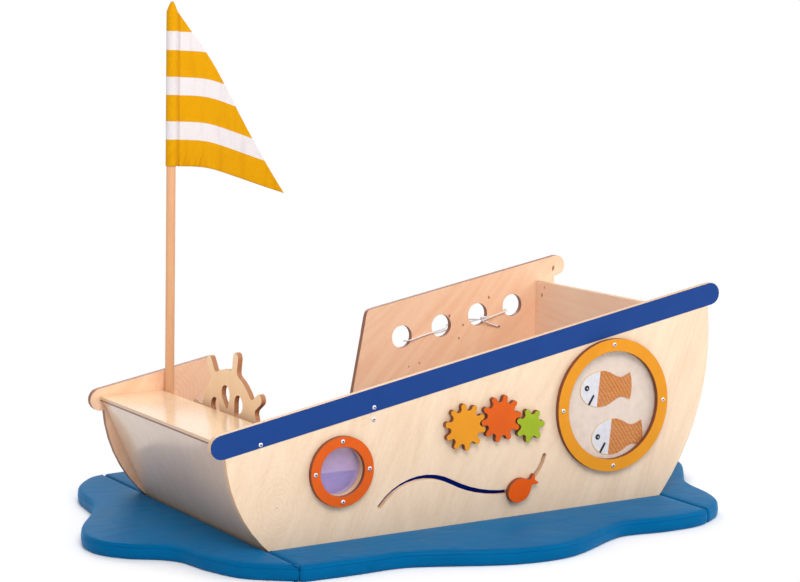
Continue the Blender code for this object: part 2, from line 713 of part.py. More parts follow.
wheel_stern = BOX_FRONT + GAP + WHEEL_STANDOFF + RUNNING
wheel_bow = wheel_stern + BOARD
axle_start = BOX_FRONT - BOARD - RUNNING - CAP_THICKNESS
axle_stop = wheel_bow + GAP + CAP_THICKNESS
wheel_rings = [wheel_outline(), circle((0, 0), WHEEL_AXLE + GAP, 24)]
for k in range(HANDLES):
    wheel_rings.append(wheel_opening(OPENING_BEARING + 2 * math.pi * k / HANDLES))
wheel_place = at((wheel_stern + wheel_bow) / 2, *WHEEL_AT)
sheet("steering_wheel", wheel_rings, BOARD, "end", wheel_place, PLY, EDGE * 2, smooth=True)
axle_piece("wheel_spacer", WHEEL_BOSS, WHEEL_AXLE + RUNNING, BOX_FRONT + GAP, BOX_FRONT + GAP + WHEEL_STANDOFF, BEECH)
axle_piece("wheel_hub_cap", WHEEL_BOSS, WHEEL_AXLE + GAP, wheel_bow + GAP, axle_stop, BEECH)
axle_piece("wheel_axle_cap", WHEEL_BOSS, WHEEL_AXLE + GAP, axle_start, axle_start + CAP_THICKNESS, BEECH)
axle_middle = at((axle_start + axle_stop) / 2, *WHEEL_AT)
rod("wheel_axle", WHEEL_AXLE, axle_stop - axle_start, axle_middle, (1, 0, 0), BEECH, 24)

# Mast, lifted out of two blocks in the corner of the deck box and the far side
MAST_AT_DECK = DECK_FRONT + MAST + 0.0008
MAST_ACROSS = FAR_IN - MAST - MAST_OFF_SIDE
mast_way = Vector((math.sin(MAST_LEAN), 0, math.cos(MAST_LEAN)))


def mast_point(height):
    return at(MAST_AT_DECK + (height - DECK_TOP) * math.tan(MAST_LEAN), MAST_ACROSS, height)


def mast_rod(name, radius, low, high, material, steps, home=boat):
    length = (high - low) / math.cos(MAST_LEAN)
    return rod(name, radius, length, mast_point((low + high) / 2), mast_way, material, steps, home)


soften(mast_rod("mast", MAST, MAST_FOOT, MAST_TOP, BEECH, 24), EDGE)
for name, (low, high), hole_foot in (("mast_guide_block", GUIDE, GUIDE[0] - BLOCK_WALL),
                                     ("mast_foot_block", (FLOOR_MAT + GAP, FOOT_BLOCK), MAST_FOOT - GAP)):
    corner = mast_point(low) - Vector((0, MAST + BLOCK_WALL, 0))
    corner.x = BOX_FRONT + GAP - HULL_MIDDLE
    far = mast_point(high) + Vector((MAST + BLOCK_WALL, 0, 0))
    far.y = FAR_IN - GAP
    holder = block(name, corner, far, BEECH)
    cut(holder, mast_rod(name + "_hole", MAST + RUNNING, hole_foot, high + BLOCK_WALL, None, 24, cutters))


# Pennant: a hem sewn round the mast and closed over its top, then one cloth that droops and billows
def pennant():
    round_mast = MAST + SLEEVE_EASE + CLOTH / 2
    apart = CLOTH * 0.9
    rows, wraps, flies = 12, 12, 9
    closed = HOIST - POCKET + CLOTH
    heights = [closed * j / rows for j in range(rows + 1)]
    heights += [closed + (HOIST - closed) * share for share in (0.35, 0.7, 1)]
    form = bmesh.new()
    net = []
    for height in heights:
        past = max(0, (height - closed) / (HOIST - closed))
        wrap = round_mast + (POCKET_TIP - round_mast) * past**1.2
        reach = max(wrap + 0.0026, PENNANT_FOOT * (1 - height / PENNANT_LINE))
        seam = min(SLEEVE, reach - 0.001)
        clear = math.acos(wrap / seam)
        path = [(seam, apart, 0), ((seam + wrap) / 2, apart + 0.002 * wrap / round_mast, 0)]
        for x, y in arc((0, 0), wrap, clear, 2 * math.pi - clear, wraps):
            path.append((x, y, 0))
        for i in range(flies + 1):
            out = seam + (reach - seam) * i / flies
            share = (out - seam) / (PENNANT_FOOT - SLEEVE)
            beyond = out - DROOP_START
            sag = DROOP * (beyond + math.hypot(beyond, DROOP_SOFTNESS)) / 2
            billow = BILLOW * math.sin(2 * math.pi * share) * min(1, 3 * share)
            path.append((out, -apart - billow, -sag))
        net.append([form.verts.new((x, y, height + z)) for x, y, z in path])
    for below, above in zip(net, net[1:]):
        for a, b, c, d in zip(below, below[1:], above[1:], above):
            form.faces.new((a, b, c, d))
    mesh = bpy.data.meshes.new("flag")
    form.to_mesh(mesh)
    form.free()
    mesh.shade_smooth()
    foot = mast_point(MAST_TOP - (HOIST - POCKET) * math.cos(MAST_LEAN))
    flag = show("flag", mesh, FLAG_CLOTH, foot, (0, MAST_LEAN, 0))
    shell = flag.modifiers.new("cloth", "SOLIDIFY")
    shell.thickness = CLOTH
    shell.offset = 0
    return flag


pennant()


# Lacing rope through the four holes, from its knot to the bow, back behind the side and forward again
def smooth_route(points, spacing):
    """Evenly spaced points along a smooth curve through the given ones."""
    points = [Vector(p) for p in points]
    ends = [2 * points[0] - points[1], *points, 2 * points[-1] - points[-2]]
    fine = []
    for a, b, c, d in zip(ends, ends[1:], ends[2:], ends[3:]):
        for i in range(12):
            t = i / 12
            fine.append((2 * b + (c - a) * t + (2 * a - 5 * b + 4 * c - d) * t**2
                         + (3 * b - a - 3 * c + d) * t**3) / 2)
    fine.append(points[-1])
    lengths = [0]
    for a, b in zip(fine, fine[1:]):
        lengths.append(lengths[-1] + (b - a).length)
    count = max(2, round(lengths[-1] / spacing))
    route, k = [], 0
    for i in range(count + 1):
        goal = lengths[-1] * i / count
        while k < len(fine) - 2 and lengths[k + 1] < goal:
            k += 1
        share = (goal - lengths[k]) / (lengths[k + 1] - lengths[k])
        route.append(fine[k].lerp(fine[k + 1], share))
    return route, lengths[-1]


def rope(name, points):
    """A round rope along a route of points: length from the bow's shoulder, distance from the far side's
    middle, height."""
    middle = FAR_IN + SIDE / 2
    route, length = smooth_route([at(BOW_SHOULDER + x, middle + y, z) for x, y, z in points], 2.4 * 2 * ROPE)
    curve = bpy.data.curves.new(name, "CURVE")
    curve.dimensions = "3D"
    curve.bevel_depth = ROPE
    curve.bevel_resolution = 2
    curve.use_fill_caps = True
    spline = curve.splines.new("POLY")
    spline.points.add(len(route) - 1)
    for point, co in zip(spline.points, route):
        point.co = (*co, 1)
    print(name, "runs", round(length, 3), "m over", len(route), "points")
    return show(name, curve, COTTON)


KNOT_OFF = -SIDE / 2 - KNOT[1] - 0.0005
knot_end = KNOT[0] + 2 * GAP
LACING = (
    (KNOT_AT[0] + knot_end, KNOT_OFF, KNOT_AT[1]),
    (-0.2470, -0.0140, 0.4935),
    (-0.2220, -0.0125, 0.4990),
    (-0.2010, -0.0135, 0.5050),
    (-0.1895, -0.0080, 0.5085),
    (-0.1845, 0.0040, 0.5090),
    (-0.1865, 0.0135, 0.5065),
    (-0.2010, 0.0140, 0.5010),
    (-0.2390, 0.0130, 0.4905),
    (-0.3045, 0.0135, 0.4800),
    (-0.3790, 0.0130, 0.4630),
    (-0.4455, 0.0135, 0.4505),
    (-0.5190, 0.0130, 0.4385),
    (-0.5530, 0.0145, 0.4340),
    (-0.5720, 0.0125, 0.4345),
    (-0.5800, 0.0030, 0.4360),
    (-0.5780, -0.0080, 0.4375),
    (-0.5660, -0.0150, 0.4390),
    (-0.5490, -0.0130, 0.4425),
    (-0.5140, -0.0125, 0.4505),
    (-0.4740, -0.0125, 0.4590),
    (-0.4440, -0.0125, 0.4655),
    (-0.4290, -0.0085, 0.4690),
    (-0.4200, 0.0010, 0.4715),
    (-0.4120, 0.0120, 0.4740),
    (-0.3940, 0.0150, 0.4765),
    (-0.3590, 0.0140, 0.4820),
    (-0.3370, 0.0140, 0.4855),
    (-0.3255, 0.0050, 0.4870),
    (-0.3200, -0.0060, 0.4880),
    (-0.3130, -0.0150, 0.4885),
    (KNOT_AT[0] - knot_end, KNOT_OFF, KNOT_AT[1]),
)
TAIL = (
    (-0.2775, KNOT_OFF, 0.4784),
    (-0.2640, -0.0175, 0.4715),
    (-0.2440, -0.0150, 0.4640),
    (-0.2200, -0.0130, 0.4570),
)
rope("lacing_rope", LACING)
rope("rope_tail", TAIL)
knot_form = bmesh.new()
bmesh.ops.create_uvsphere(knot_form, u_segments=16, v_segments=10, radius=1, matrix=Matrix.Diagonal((*KNOT, 1)))
knot_mesh = bpy.data.meshes.new("rope_knot")
knot_form.to_mesh(knot_mesh)
knot_form.free()
knot_mesh.shade_smooth()
show("rope_knot", knot_mesh, COTTON, at(BOW_SHOULDER + KNOT_AT[0], FAR_IN + SIDE / 2 + KNOT_OFF, KNOT_AT[1]))

# Foam mats round the hull, cut in waves. Side waves are (length, reach from the side), end waves (length, across).
NEAR_WAVE = ((0, 0.2), (0.15, 0.21), (0.3, 0.212), (0.4, 0.25), (0.5, 0.3), (0.6, 0.34), (0.72, 0.355),
             (0.82, 0.333), (0.97, 0.256), (1.045, 0.234), (1.17, 0.253), (1.28, 0.251), (1.34, 0.232))
FAR_WAVE = ((0, 0.289), (0.15, 0.305), (0.3, 0.34), (0.45, 0.355), (0.6, 0.335), (0.75, 0.285), (0.9, 0.25),
            (1.05, 0.24), (1.2, 0.252), (1.34, 0.255))
STERN_WAVE = ((0, -0.61), (-0.04, -0.578), (-0.124, -0.499), (-0.171, -0.368), (-0.187, -0.275), (-0.225, -0.216),
              (-0.29, -0.166), (-0.345, -0.091), (-0.36, -0.008), (-0.343, 0.068), (-0.303, 0.147), (-0.233, 0.253),
              (-0.187, 0.35), (-0.158, 0.534), (-0.11, 0.63), (-0.042, 0.7), (0, 0.709))
BOW_WAVE = ((0, -0.652), (0.08, -0.598), (0.125, -0.53), (0.151, -0.45), (0.165, -0.372), (0.191, -0.301),
            (0.236, -0.237), (0.29, -0.165), (0.345, -0.08), (0.36, 0), (0.34, 0.085), (0.28, 0.175),
            (0.21, 0.25), (0.17, 0.35), (0.15, 0.45), (0.11, 0.56), (0.05, 0.64), (0, 0.675))


def wavy(points, spacing=0.045):
    return [(p.x, p.y) for p in smooth_route([(x, y, 0) for x, y in points], spacing)[0]]


def mat(name, ring):
    place = at(0, 0, MAT / 2)
    return soften(sheet(name, [ring], MAT, "floor", place, MAT_SKIN, smooth=True), MAT_ROUND, 2)


# The mats meet the hull and each other where the hull's ends stand at the mats' top
MAT_START = hull_end(STERN_LINE, MAT, -1) - 2 * GAP
MAT_END = hull_end(BOW_LINE, MAT, 1) + 2 * GAP


def side_mat(name, wave, side):
    """A mat along one side, from end to end of the hull."""
    reach = MAT_END - MAT_START - 2 * GAP
    edge = [(MAT_START + GAP + x / wave[-1][0] * reach, side * (FAR_OUT + out)) for x, out in wave]
    inner = side * (FAR_OUT + BAND_SKIN)
    mat(name, wavy(edge) + [(MAT_END - GAP, inner), (MAT_START + GAP, inner)])


side_mat("near_mat", NEAR_WAVE, -1)
side_mat("far_mat", FAR_WAVE, 1)
mat("stern_mat", wavy([(x + MAT_START, y) for x, y in STERN_WAVE]))
mat("bow_mat", wavy([(x + MAT_END, y) for x, y in BOW_WAVE]))
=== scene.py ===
import math

import bmesh
import bpy
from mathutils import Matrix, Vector
from mathutils.geometry import delaunay_2d_cdt
from mathutils.kdtree import KDTree


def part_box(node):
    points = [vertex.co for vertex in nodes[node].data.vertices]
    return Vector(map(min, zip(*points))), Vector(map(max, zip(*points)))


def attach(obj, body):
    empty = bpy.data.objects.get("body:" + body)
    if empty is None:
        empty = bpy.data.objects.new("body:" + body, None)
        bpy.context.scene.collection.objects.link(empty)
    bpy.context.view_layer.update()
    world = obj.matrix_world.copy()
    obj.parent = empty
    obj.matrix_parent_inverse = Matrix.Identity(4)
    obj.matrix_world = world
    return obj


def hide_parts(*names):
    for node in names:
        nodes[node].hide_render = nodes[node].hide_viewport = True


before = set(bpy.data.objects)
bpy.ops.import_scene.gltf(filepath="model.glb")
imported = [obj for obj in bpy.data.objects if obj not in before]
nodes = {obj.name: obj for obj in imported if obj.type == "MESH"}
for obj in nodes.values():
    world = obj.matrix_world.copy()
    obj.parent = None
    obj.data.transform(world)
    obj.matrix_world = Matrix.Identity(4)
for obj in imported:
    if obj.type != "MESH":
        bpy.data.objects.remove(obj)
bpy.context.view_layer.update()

# Camera, at the photograph's place
PHOTO_WIDTH = 800
FOCAL_PIXELS = 2197.82
SENSOR = 36.0
CAMERA_AT = (-3.3555, -5.6434, 1.5551)
CAMERA_TURN = (82.282, 0.0, -30.716)

camera_data = bpy.data.cameras.new("camera")
camera_data.sensor_width = SENSOR
camera_data.lens = SENSOR * FOCAL_PIXELS / PHOTO_WIDTH
camera = bpy.data.objects.new("camera", camera_data)
camera.location = CAMERA_AT
camera.rotation_euler = [math.radians(a) for a in CAMERA_TURN]
bpy.context.scene.collection.objects.link(camera)
bpy.context.scene.camera = camera
bpy.context.scene.view_settings.view_transform = "Standard"


def srgb(r, g, b):
    """A colour from its 8-bit screen values."""
    parts = [v / 255 for v in (r, g, b)]
    return tuple(p / 12.92 if p < 0.04045 else ((p + 0.055) / 1.055) ** 2.4 for p in parts)


def mid(node):
    """The middle of a node's box."""
    low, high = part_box(node)
    return (Vector(low) + Vector(high)) / 2


# Node material helper
class Graph:
    """A node material. Each call adds nodes, fills their inputs from numbers or sockets, gives an output."""

    def __init__(self, name):
        self.material = bpy.data.materials.new(name)
        self.material.use_nodes = True
        self.tree = self.material.node_tree
        self.shader = self.tree.nodes["Principled BSDF"]
        self.output = self.tree.nodes["Material Output"]
        coordinates = self.tree.nodes.new("ShaderNodeTexCoord")
        self.place = coordinates.outputs["Object"]
        self.uv = coordinates.outputs["UV"]

    def put(self, socket, value):
        """Sets an input from a socket, a colour or a plain value."""
        if isinstance(value, bpy.types.NodeSocket):
            self.tree.links.new(value, socket)
        elif isinstance(value, tuple) and socket.type == "RGBA" and len(value) == 3:
            socket.default_value = (*value, 1)
        else:
            socket.default_value = value

    def add(self, kind, inputs, output=0, **settings):
        """A shader node of a kind, with its inputs and settings."""
        node = self.tree.nodes.new("ShaderNode" + kind)
        for key, value in settings.items():
            setattr(node, key, value)
        for key, value in inputs.items():
            self.put(node.inputs[key], value)
        return node.outputs[output]

    def math(self, operation, a, b=0.0, clamp=False):
        return self.add("Math", {0: a, 1: b}, operation=operation, use_clamp=clamp)

    def plus(self, a, b, clamp=False):
        return self.math("ADD", a, b, clamp)

    def minus(self, a, b):
        return self.math("SUBTRACT", a, b)

    def times(self, a, b):
        return self.math("MULTIPLY", a, b)

    def over(self, a, b):
        return self.math("DIVIDE", a, b)

    def weighed(self, *parts):
        """The sum of values, each times its weight."""
        total = None
        for value, weight in parts:
            part = self.times(value, weight)
            total = part if total is None else self.plus(total, part)
        return total

    def distance(self, a, b):
        """The length of a step that goes a along and b up."""
        return self.math("SQRT", self.plus(self.times(a, a), self.times(b, b)))

    def wave(self, value, period):
        """A sine of a value, from -1 to 1."""
        return self.math("SINE", self.times(value, 2 * math.pi / period))

    def near(self, value, goal, far, close):
        """1 where a value is within close of its goal, 0 where it is past far."""
        return self.fade(self.math("ABSOLUTE", self.minus(value, goal)), far, close)

    def axes(self, vector):
        """A vector's three parts."""
        node = self.tree.nodes.new("ShaderNodeSeparateXYZ")
        self.put(node.inputs[0], vector)
        return node.outputs

    def noise(self, where, scale, detail=4.0, rough=0.5, distort=0.0):
        inputs = {"Vector": where, "Scale": scale, "Detail": detail, "Roughness": rough,
                  "Distortion": distort}
        return self.add("TexNoise", inputs, "Fac")

    def stretch(self, where, scale, turn=(0, 0, 0)):
        return self.add("Mapping", {"Vector": where, "Scale": scale, "Rotation": turn})

    def ramp(self, value, *stops):
        """Colours by value, each stop a place and a colour."""
        node = self.tree.nodes.new("ShaderNodeValToRGB")
        self.put(node.inputs[0], value)
        elements = node.color_ramp.elements
        for i, (place, colour) in enumerate(stops):
            element = elements[i] if i < 2 else elements.new(place)
            element.position = place
            element.color = (*colour, 1)
        return node.outputs[0]

    def fade(self, value, low, high, to_low=0.0, to_high=1.0):
        """A value between two bounds, brought to another range and kept in it."""
        inputs = {"Value": value, "From Min": low, "From Max": high, "To Min": to_low, "To Max": to_high}
        return self.add("MapRange", inputs, clamp=True)

    def mix(self, share, a, b):
        """A colour between two."""
        node = self.tree.nodes.new("ShaderNodeMix")
        node.data_type = "RGBA"
        self.put(node.inputs[0], share)
        self.put(node.inputs[6], a)
        self.put(node.inputs[7], b)
        return node.outputs[2]

    def mixed(self, share, a, b):
        """A number between two."""
        return self.add("Mix", {0: share, 2: a, 3: b}, data_type="FLOAT")

    def bump(self, height, depth, strength=1.0, under=None):
        inputs = {"Height": height, "Distance": depth, "Strength": strength}
        if under:
            inputs["Normal"] = under
        return self.add("Bump", inputs, "Normal")

    def finish(self, colour, roughness, normal=None, **sockets):
        """Sets the shader's inputs and gives the material."""
        self.put(self.shader.inputs["Base Color"], colour)
        self.put(self.shader.inputs["Roughness"], roughness)
        if normal:
            self.put(self.shader.inputs["Normal"], normal)
        for name, value in sockets.items():
            self.put(self.shader.inputs[name.replace("_", " ")], value)
        return self.material


# Shape helpers
CURVE_STEPS = 12


def inset(ring, distance):
    """A ring of points that runs counter-clockwise, moved inward."""
    moved = []
    for i, p in enumerate(ring):
        way = ring[(i + 1) % len(ring)] - ring[i - 1]
        normal = Vector((-way.y, way.x)).normalized()
        moved.append(p + normal * distance)
    return moved


def inside(ring, p):
    """Whether a point lies in a ring."""
    hit = False
    for a, b in zip(ring, ring[1:] + ring[:1]):
        if (a.y > p.y) != (b.y > p.y) and p.x < (b.x - a.x) * (p.y - a.y) / (b.y - a.y) + a.x:
            hit = not hit
    return hit


def bridge(form, loops):
    """Joins closed loops of vertices, each to the next."""
    for low, high in zip(loops, loops[1:]):
        for i in range(len(low)):
            form.faces.new((low[i - 1], low[i], high[i], high[i - 1]))


def link(name, form, material, body="hull", smooth=True):
    """Makes an object of a bmesh form, dresses it and lets it ride on a body."""
    mesh = bpy.data.meshes.new(name)
    form.to_mesh(mesh)
    form.free()
    if smooth:
        mesh.shade_smooth()
    mesh.materials.append(material)
    obj = bpy.data.objects.new(name, mesh)
    bpy.context.scene.collection.objects.link(obj)
    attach(obj, body)
    return obj


def smooth_route(points, spacing):
    """Evenly spaced points along a smooth curve through the given ones, and its length."""
    points = [Vector(p) for p in points]
    ends = [2 * points[0] - points[1], *points, 2 * points[-1] - points[-2]]
    fine = []
    for a, b, c, d in zip(ends, ends[1:], ends[2:], ends[3:]):
        for i in range(CURVE_STEPS):
            t = i / CURVE_STEPS
            fine.append((2 * b + (c - a) * t + (2 * a - 5 * b + 4 * c - d) * t**2
                         + (3 * b - a - 3 * c + d) * t**3) / 2)
    fine.append(points[-1])
    lengths = [0]
    for a, b in zip(fine, fine[1:]):
        lengths.append(lengths[-1] + (b - a).length)
    count = max(2, round(lengths[-1] / spacing))
    route, k = [], 0
    for i in range(count + 1):
        goal = lengths[-1] * i / count
        while k < len(fine) - 2 and lengths[k + 1] < goal:
            k += 1
        share = (goal - lengths[k]) / (lengths[k + 1] - lengths[k])
        route.append(fine[k].lerp(fine[k + 1], share))
    return route, lengths[-1]


# Ropes: a braided white cord laced through the far side's holes, its knot and its short dark-tipped end.
# A route's points give the place along the side, off the side's middle, and up.
ROPE = 0.0025
ROPE_CORE, ROPE_STRAND = 0.86, 0.16
ROPE_SIDES = 16
ROUTE_STEP = 0.0012
BRAID_LAY = 0.0022
FAR_MIDDLE = mid("far_side_panel").y
KNOT_OFF = -0.0185
KNOT_POINTS = 150
KNOT_SIZE = (0.0039, 0.0032, 0.0029)
LACING = ((0.5666, KNOT_OFF, 0.4885), (0.5920, -0.0140, 0.4935), (0.6170, -0.0125, 0.4990),
          (0.6380, -0.0135, 0.5050), (0.6495, -0.0080, 0.5085), (0.6545, 0.0040, 0.5090),
          (0.6525, 0.0135, 0.5065), (0.6380, 0.0140, 0.5010), (0.6000, 0.0130, 0.4905),
          (0.5345, 0.0135, 0.4800), (0.4600, 0.0130, 0.4630), (0.3935, 0.0135, 0.4505),
          (0.3200, 0.0130, 0.4385), (0.2860, 0.0145, 0.4340), (0.2670, 0.0125, 0.4345),
          (0.2590, 0.0030, 0.4360), (0.2610, -0.0080, 0.4375), (0.2730, -0.0150, 0.4390),
          (0.2900, -0.0130, 0.4425), (0.3250, -0.0125, 0.4505), (0.3650, -0.0125, 0.4590),
          (0.3950, -0.0125, 0.4655), (0.4100, -0.0085, 0.4690), (0.4190, 0.0010, 0.4715),
          (0.4270, 0.0120, 0.4740), (0.4450, 0.0150, 0.4765), (0.4800, 0.0140, 0.4820),
          (0.5020, 0.0140, 0.4855), (0.5135, 0.0050, 0.4870), (0.5190, -0.0060, 0.4880),
          (0.5260, -0.0150, 0.4885), (0.5374, KNOT_OFF, 0.4885))
TAIL = ((0.5615, KNOT_OFF, 0.4784), (0.5750, -0.0175, 0.4715), (0.5950, -0.0150, 0.4640),
        (0.6190, -0.0130, 0.4570))
TIP_FROM = 0.6125


def braided(route, closed=False):
    """A cord along a route, whose skin stands out in crossing strands."""
    form = bmesh.new()
    rows, run, side = [], 0.0, Vector((0, 0, 1))
    last = len(route) - 1
    for i, here in enumerate(route):
        before = route[i - 1] if i or closed else here
        after = route[(i + 1) % len(route)] if i < last or closed else here
        way = (after - before).normalized()
        side = (side - way * side.dot(way)).normalized()
        other = way.cross(side)
        run += (here - route[i - 1]).length if i else 0
        row = []
        for k in range(ROPE_SIDES):
            turn = 2 * math.pi * k / ROPE_SIDES
            twist = run / BRAID_LAY
            strand = max(abs(math.sin(2 * turn + twist)), abs(math.sin(2 * turn - twist)))
            out = ROPE * (ROPE_CORE + ROPE_STRAND * strand)
            row.append(form.verts.new(here + (side * math.cos(turn) + other * math.sin(turn)) * out))
        rows.append(row)
    bridge(form, rows + rows[:1] if closed else rows)
    if not closed:
        form.faces.new(rows[0])
        form.faces.new(rows[-1][::-1])
    bmesh.ops.recalc_face_normals(form, faces=form.faces)
    return form


def cord_material(name, tip=None):
    """White braided cord with fine fuzz; past its tip's start it is dark, where the end is sealed."""
    g = Graph(name)
    fuzz = g.noise(g.place, 1400, 4, 0.7)
    soil = g.noise(g.place, 30, 3)
    tone = g.weighed((fuzz, 0.6), (soil, 0.4))
    colour = g.ramp(tone, (0.25, srgb(208, 206, 206)), (0.6, srgb(240, 239, 240)))
    if tip:
        colour = g.mix(g.fade(g.axes(g.place)[0], tip - 0.0015, tip), colour, srgb(92, 40, 62))
    return g.finish(colour, 0.85, g.bump(fuzz, 0.0003, 0.5), Sheen_Weight=0.2)


def rope_piece(name, route, material, closed=False):
    piece = link(name + "_visual", braided(route, closed), material, "hull")
    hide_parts(name)
    return piece


def knot_route():
    """A closed curve that crosses itself three times, in the knot's place."""
    middle = mid("rope_knot")
    along, off, up = KNOT_SIZE
    route = []
    for i in range(KNOT_POINTS):
        t = 2 * math.pi * i / KNOT_POINTS
        route.append(middle + Vector((along * (math.sin(t) + 2 * math.sin(2 * t)), -off * math.sin(3 * t),
                                      up * (math.cos(t) - 2 * math.cos(2 * t)))))
    return route


def laid_cord(name, points, tip=None):
    """A cord's piece, its route and its length."""
    route, length = smooth_route([(x, FAR_MIDDLE + y, z) for x, y, z in points], ROUTE_STEP)
    return rope_piece(name, route, cord_material(name + "_braid", tip)), route, length


lacing = laid_cord("lacing_rope", LACING)
tail = laid_cord("rope_tail", TAIL, TIP_FROM)
knot = rope_piece("rope_knot", knot_route(), cord_material("knot_braid"), True)
for cord, far_end, lay, others in ((lacing, "knot", "taut", [knot]), (tail, "bare", "loose", [])):
    piece, route, length = cord


# Plywood and paint. Faces are a pale and a deep colour, edges a pale and a dark one.
AXES = {"X": 0, "Y": 1, "Z": 2}
CREAM = srgb(240, 215, 187), srgb(221, 189, 156)
# Warmer, brighter birch for faces inside the hull: painted bounced light and painted light against the
# hull's shade
WARM_BOUNCE_LIT = srgb(255, 217, 184), srgb(243, 188, 148)
PALE_EDGES = srgb(236, 205, 168), srgb(196, 146, 104)
RED_EDGES = srgb(176, 118, 84), srgb(116, 62, 44)
BROWN_EDGES = srgb(158, 94, 62), srgb(88, 42, 32)
WHEEL_EDGES = srgb(206, 148, 104), srgb(140, 80, 50)
BEECH_EDGES = srgb(240, 190, 145), srgb(228, 170, 122)
KNOT_AND_HOLE_SHADE_BROWN = srgb(128, 52, 30)
# Dark brown for a line low on the deck's edges: part glue joint, part painted shadow of the gap beneath
GLUE_AND_SHADOW_BROWN = srgb(110, 46, 40)
# Marks on a board: place along it, height, radius
FAR_KNOTS = ((0.5784, 0.5567, 0.007), (0.8365, 0.6403, 0.009), (0.834, 0.633, 0.006),
             (0.4616, 0.4294, 0.006), (0.4778, 0.4724, 0.0055), (0.4252, 0.5063, 0.0075),
             (0.31, 0.36, 0.0045), (0.27, 0.352, 0.004))
# Holes drawn as dark marks: painted shade inside them
BOW_HOLES = ((0.3652, 0.5552, 0.0085), (0.3521, 0.583, 0.006))
# Swirls in the grain, as a place along the board and a height
NEAR_SWIRL = (-0.643, 0.160)
FAR_SWIRL = (-0.56, 0.345)
NEAR_KNOTS = ((*NEAR_SWIRL, 0.0025),)
SWIRL_RINGS = 0.0145
# Height of that dark line, part glue joint and part painted shadow
GLUE_AND_SHADOW_HEIGHT = 0.0065


def edge_mask(g, axis):
    """1 on a board's cut edges, 0 on its two faces."""
    facing = g.axes(g.add("NewGeometry", {}, "Normal"))[axis]
    return g.fade(g.math("ABSOLUTE", facing), 0.85, 0.6)


def layers(g, axis, edges, pitch):
    """Plywood's glued layers, seen on its cut edges."""
    pale, dark = edges
    across = g.plus(g.over(g.axes(g.place)[axis], pitch), g.times(g.noise(g.place, 40, 2), 0.3))
    return g.mix(g.fade(g.wave(across, 1), -0.4, 0.5), dark, pale)


def spots(g, marks, colour, axis):
    """Small knots, and holes whose dark inside is painted shade: dark oval marks on a board that runs along
    an axis.
    """
    at = g.axes(g.place)
    ragged = g.times(g.minus(g.noise(g.place, 160, 3), 0.5), 0.004)
    for along, height, radius in marks:
        away = g.distance(g.times(g.minus(at[axis], along), 1.5), g.minus(at[2], height))
        mark = g.fade(g.plus(away, ragged), radius, radius * 0.4)
        colour = g.mix(g.times(mark, 0.85), colour, KNOT_AND_HOLE_SHADE_BROWN)
    return colour


def grain(g, along, turn, faces, figure, swirl):
    """Rotary-cut birch: contour-like figure, streaks, flecks and pores along it, rings round a swirl."""
    scales = [1.0 if axis == along else 7.0 for axis in "XYZ"]
    place = g.stretch(g.place, (1, 1, 1), (0, turn, 0)) if turn else g.place

    def noise(stretches, *settings):
        return g.noise(g.stretch(place, tuple(stretches)), *settings)

    broad = noise((s * 0.5 for s in scales), 1.0, 3, 0.5, 1.7)
    rings = g.math("ABSOLUTE", g.minus(g.math("FRACT", g.times(broad, 9.0)), 0.5))
    rings = g.fade(rings, 0.0, 0.5)
    streaks = noise((s * 5 for s in scales), 2.0, 4, 0.6, 0.3)
    pores = noise((s * 24 for s in scales), 4.0, 4, 0.6)
    flecks = noise((s**0.5 for s in scales), 110, 3, 0.65)
    cloud = noise((s**0.5 for s in scales), 3.5, 3, 0.55, 1.2)
    if swirl:
        at = g.axes(g.place)
        away = g.distance(g.times(g.minus(at[0], swirl[0]), 1.25), g.minus(at[2], swirl[1]))
        whorl = g.fade(g.wave(g.plus(away, g.times(cloud, 0.075)), SWIRL_RINGS), -1, 1)
        rings = g.mixed(g.fade(away, 0.16, 0.03), rings, whorl)
    tone = g.weighed((rings, figure), (pores, 0.15), (streaks, 0.2), (flecks, 0.3), (cloud, 0.35 - figure))
    return g.ramp(tone, (0.3, faces[0]), (0.7, faces[1])), pores, rings


def board(name, axis, along, faces, edges=PALE_EDGES, gloss=0.42, figure=0.12, turn=0.0, coat=0.0, marks=(),
          swirl=None, joint=None):
    """Lacquered plywood: grained faces square to an axis, layered edges, and if asked a dark line low on its
    edges, part glue joint and part painted shadow of the gap beneath.
    """
    g = Graph(name)
    face, pores, rings = grain(g, along, turn, faces, figure, swirl)
    if marks:
        face = spots(g, marks, face, AXES["X" if axis == "Y" else "Y"])
    mask = edge_mask(g, AXES[axis])
    colour = g.mix(mask, face, layers(g, AXES[axis], edges, 0.0028))
    # A dark line along the bottom of the cut edges: part glue joint, part painted shadow of the gap under
    # the board
    if joint:
        under = g.fade(g.axes(g.place)[2], joint, joint - 0.001)
        colour = g.mix(g.times(mask, under), colour, GLUE_AND_SHADOW_BROWN)
    rough = g.fade(pores, 0.3, 0.7, gloss - 0.05, gloss + 0.1)
    round_edge = g.add("Bevel", {"Radius": 0.0015}, samples=4)
    normal = g.bump(g.weighed((pores, 1.0), (rings, 0.3)), 0.0003, 0.3, round_edge)
    return g.finish(colour, rough, normal, Coat_Weight=coat, Coat_Roughness=0.15, Specular_IOR_Level=0.35)


def painted(name, paint, edges=BROWN_EDGES):
    """Painted plywood: an even coat that lets a little grain through, and layered edges where they show."""
    g = Graph(name)
    light = tuple(min(1, c * 1.05 + 0.002) for c in paint)
    shade = tuple(c * 0.93 for c in paint)
    patch = g.noise(g.place, 14, 3, 0.5, 0.4)
    pores = g.noise(g.stretch(g.place, (30, 30, 160)), 4, 4, 0.6)
    face = g.ramp(g.weighed((patch, 0.7), (pores, 0.3)), (0.3, shade), (0.7, light))
    if edges:
        face = g.mix(edge_mask(g, AXES["Y"]), face, layers(g, AXES["Y"], edges, 0.0025))
    peel = g.noise(g.place, 420, 2)
    normal = g.bump(g.weighed((peel, 0.5), (pores, 1.0)), 0.0003, 0.25)
    return g.finish(face, g.fade(patch, 0.3, 0.7, 0.46, 0.56), normal, Specular_IOR_Level=0.16)


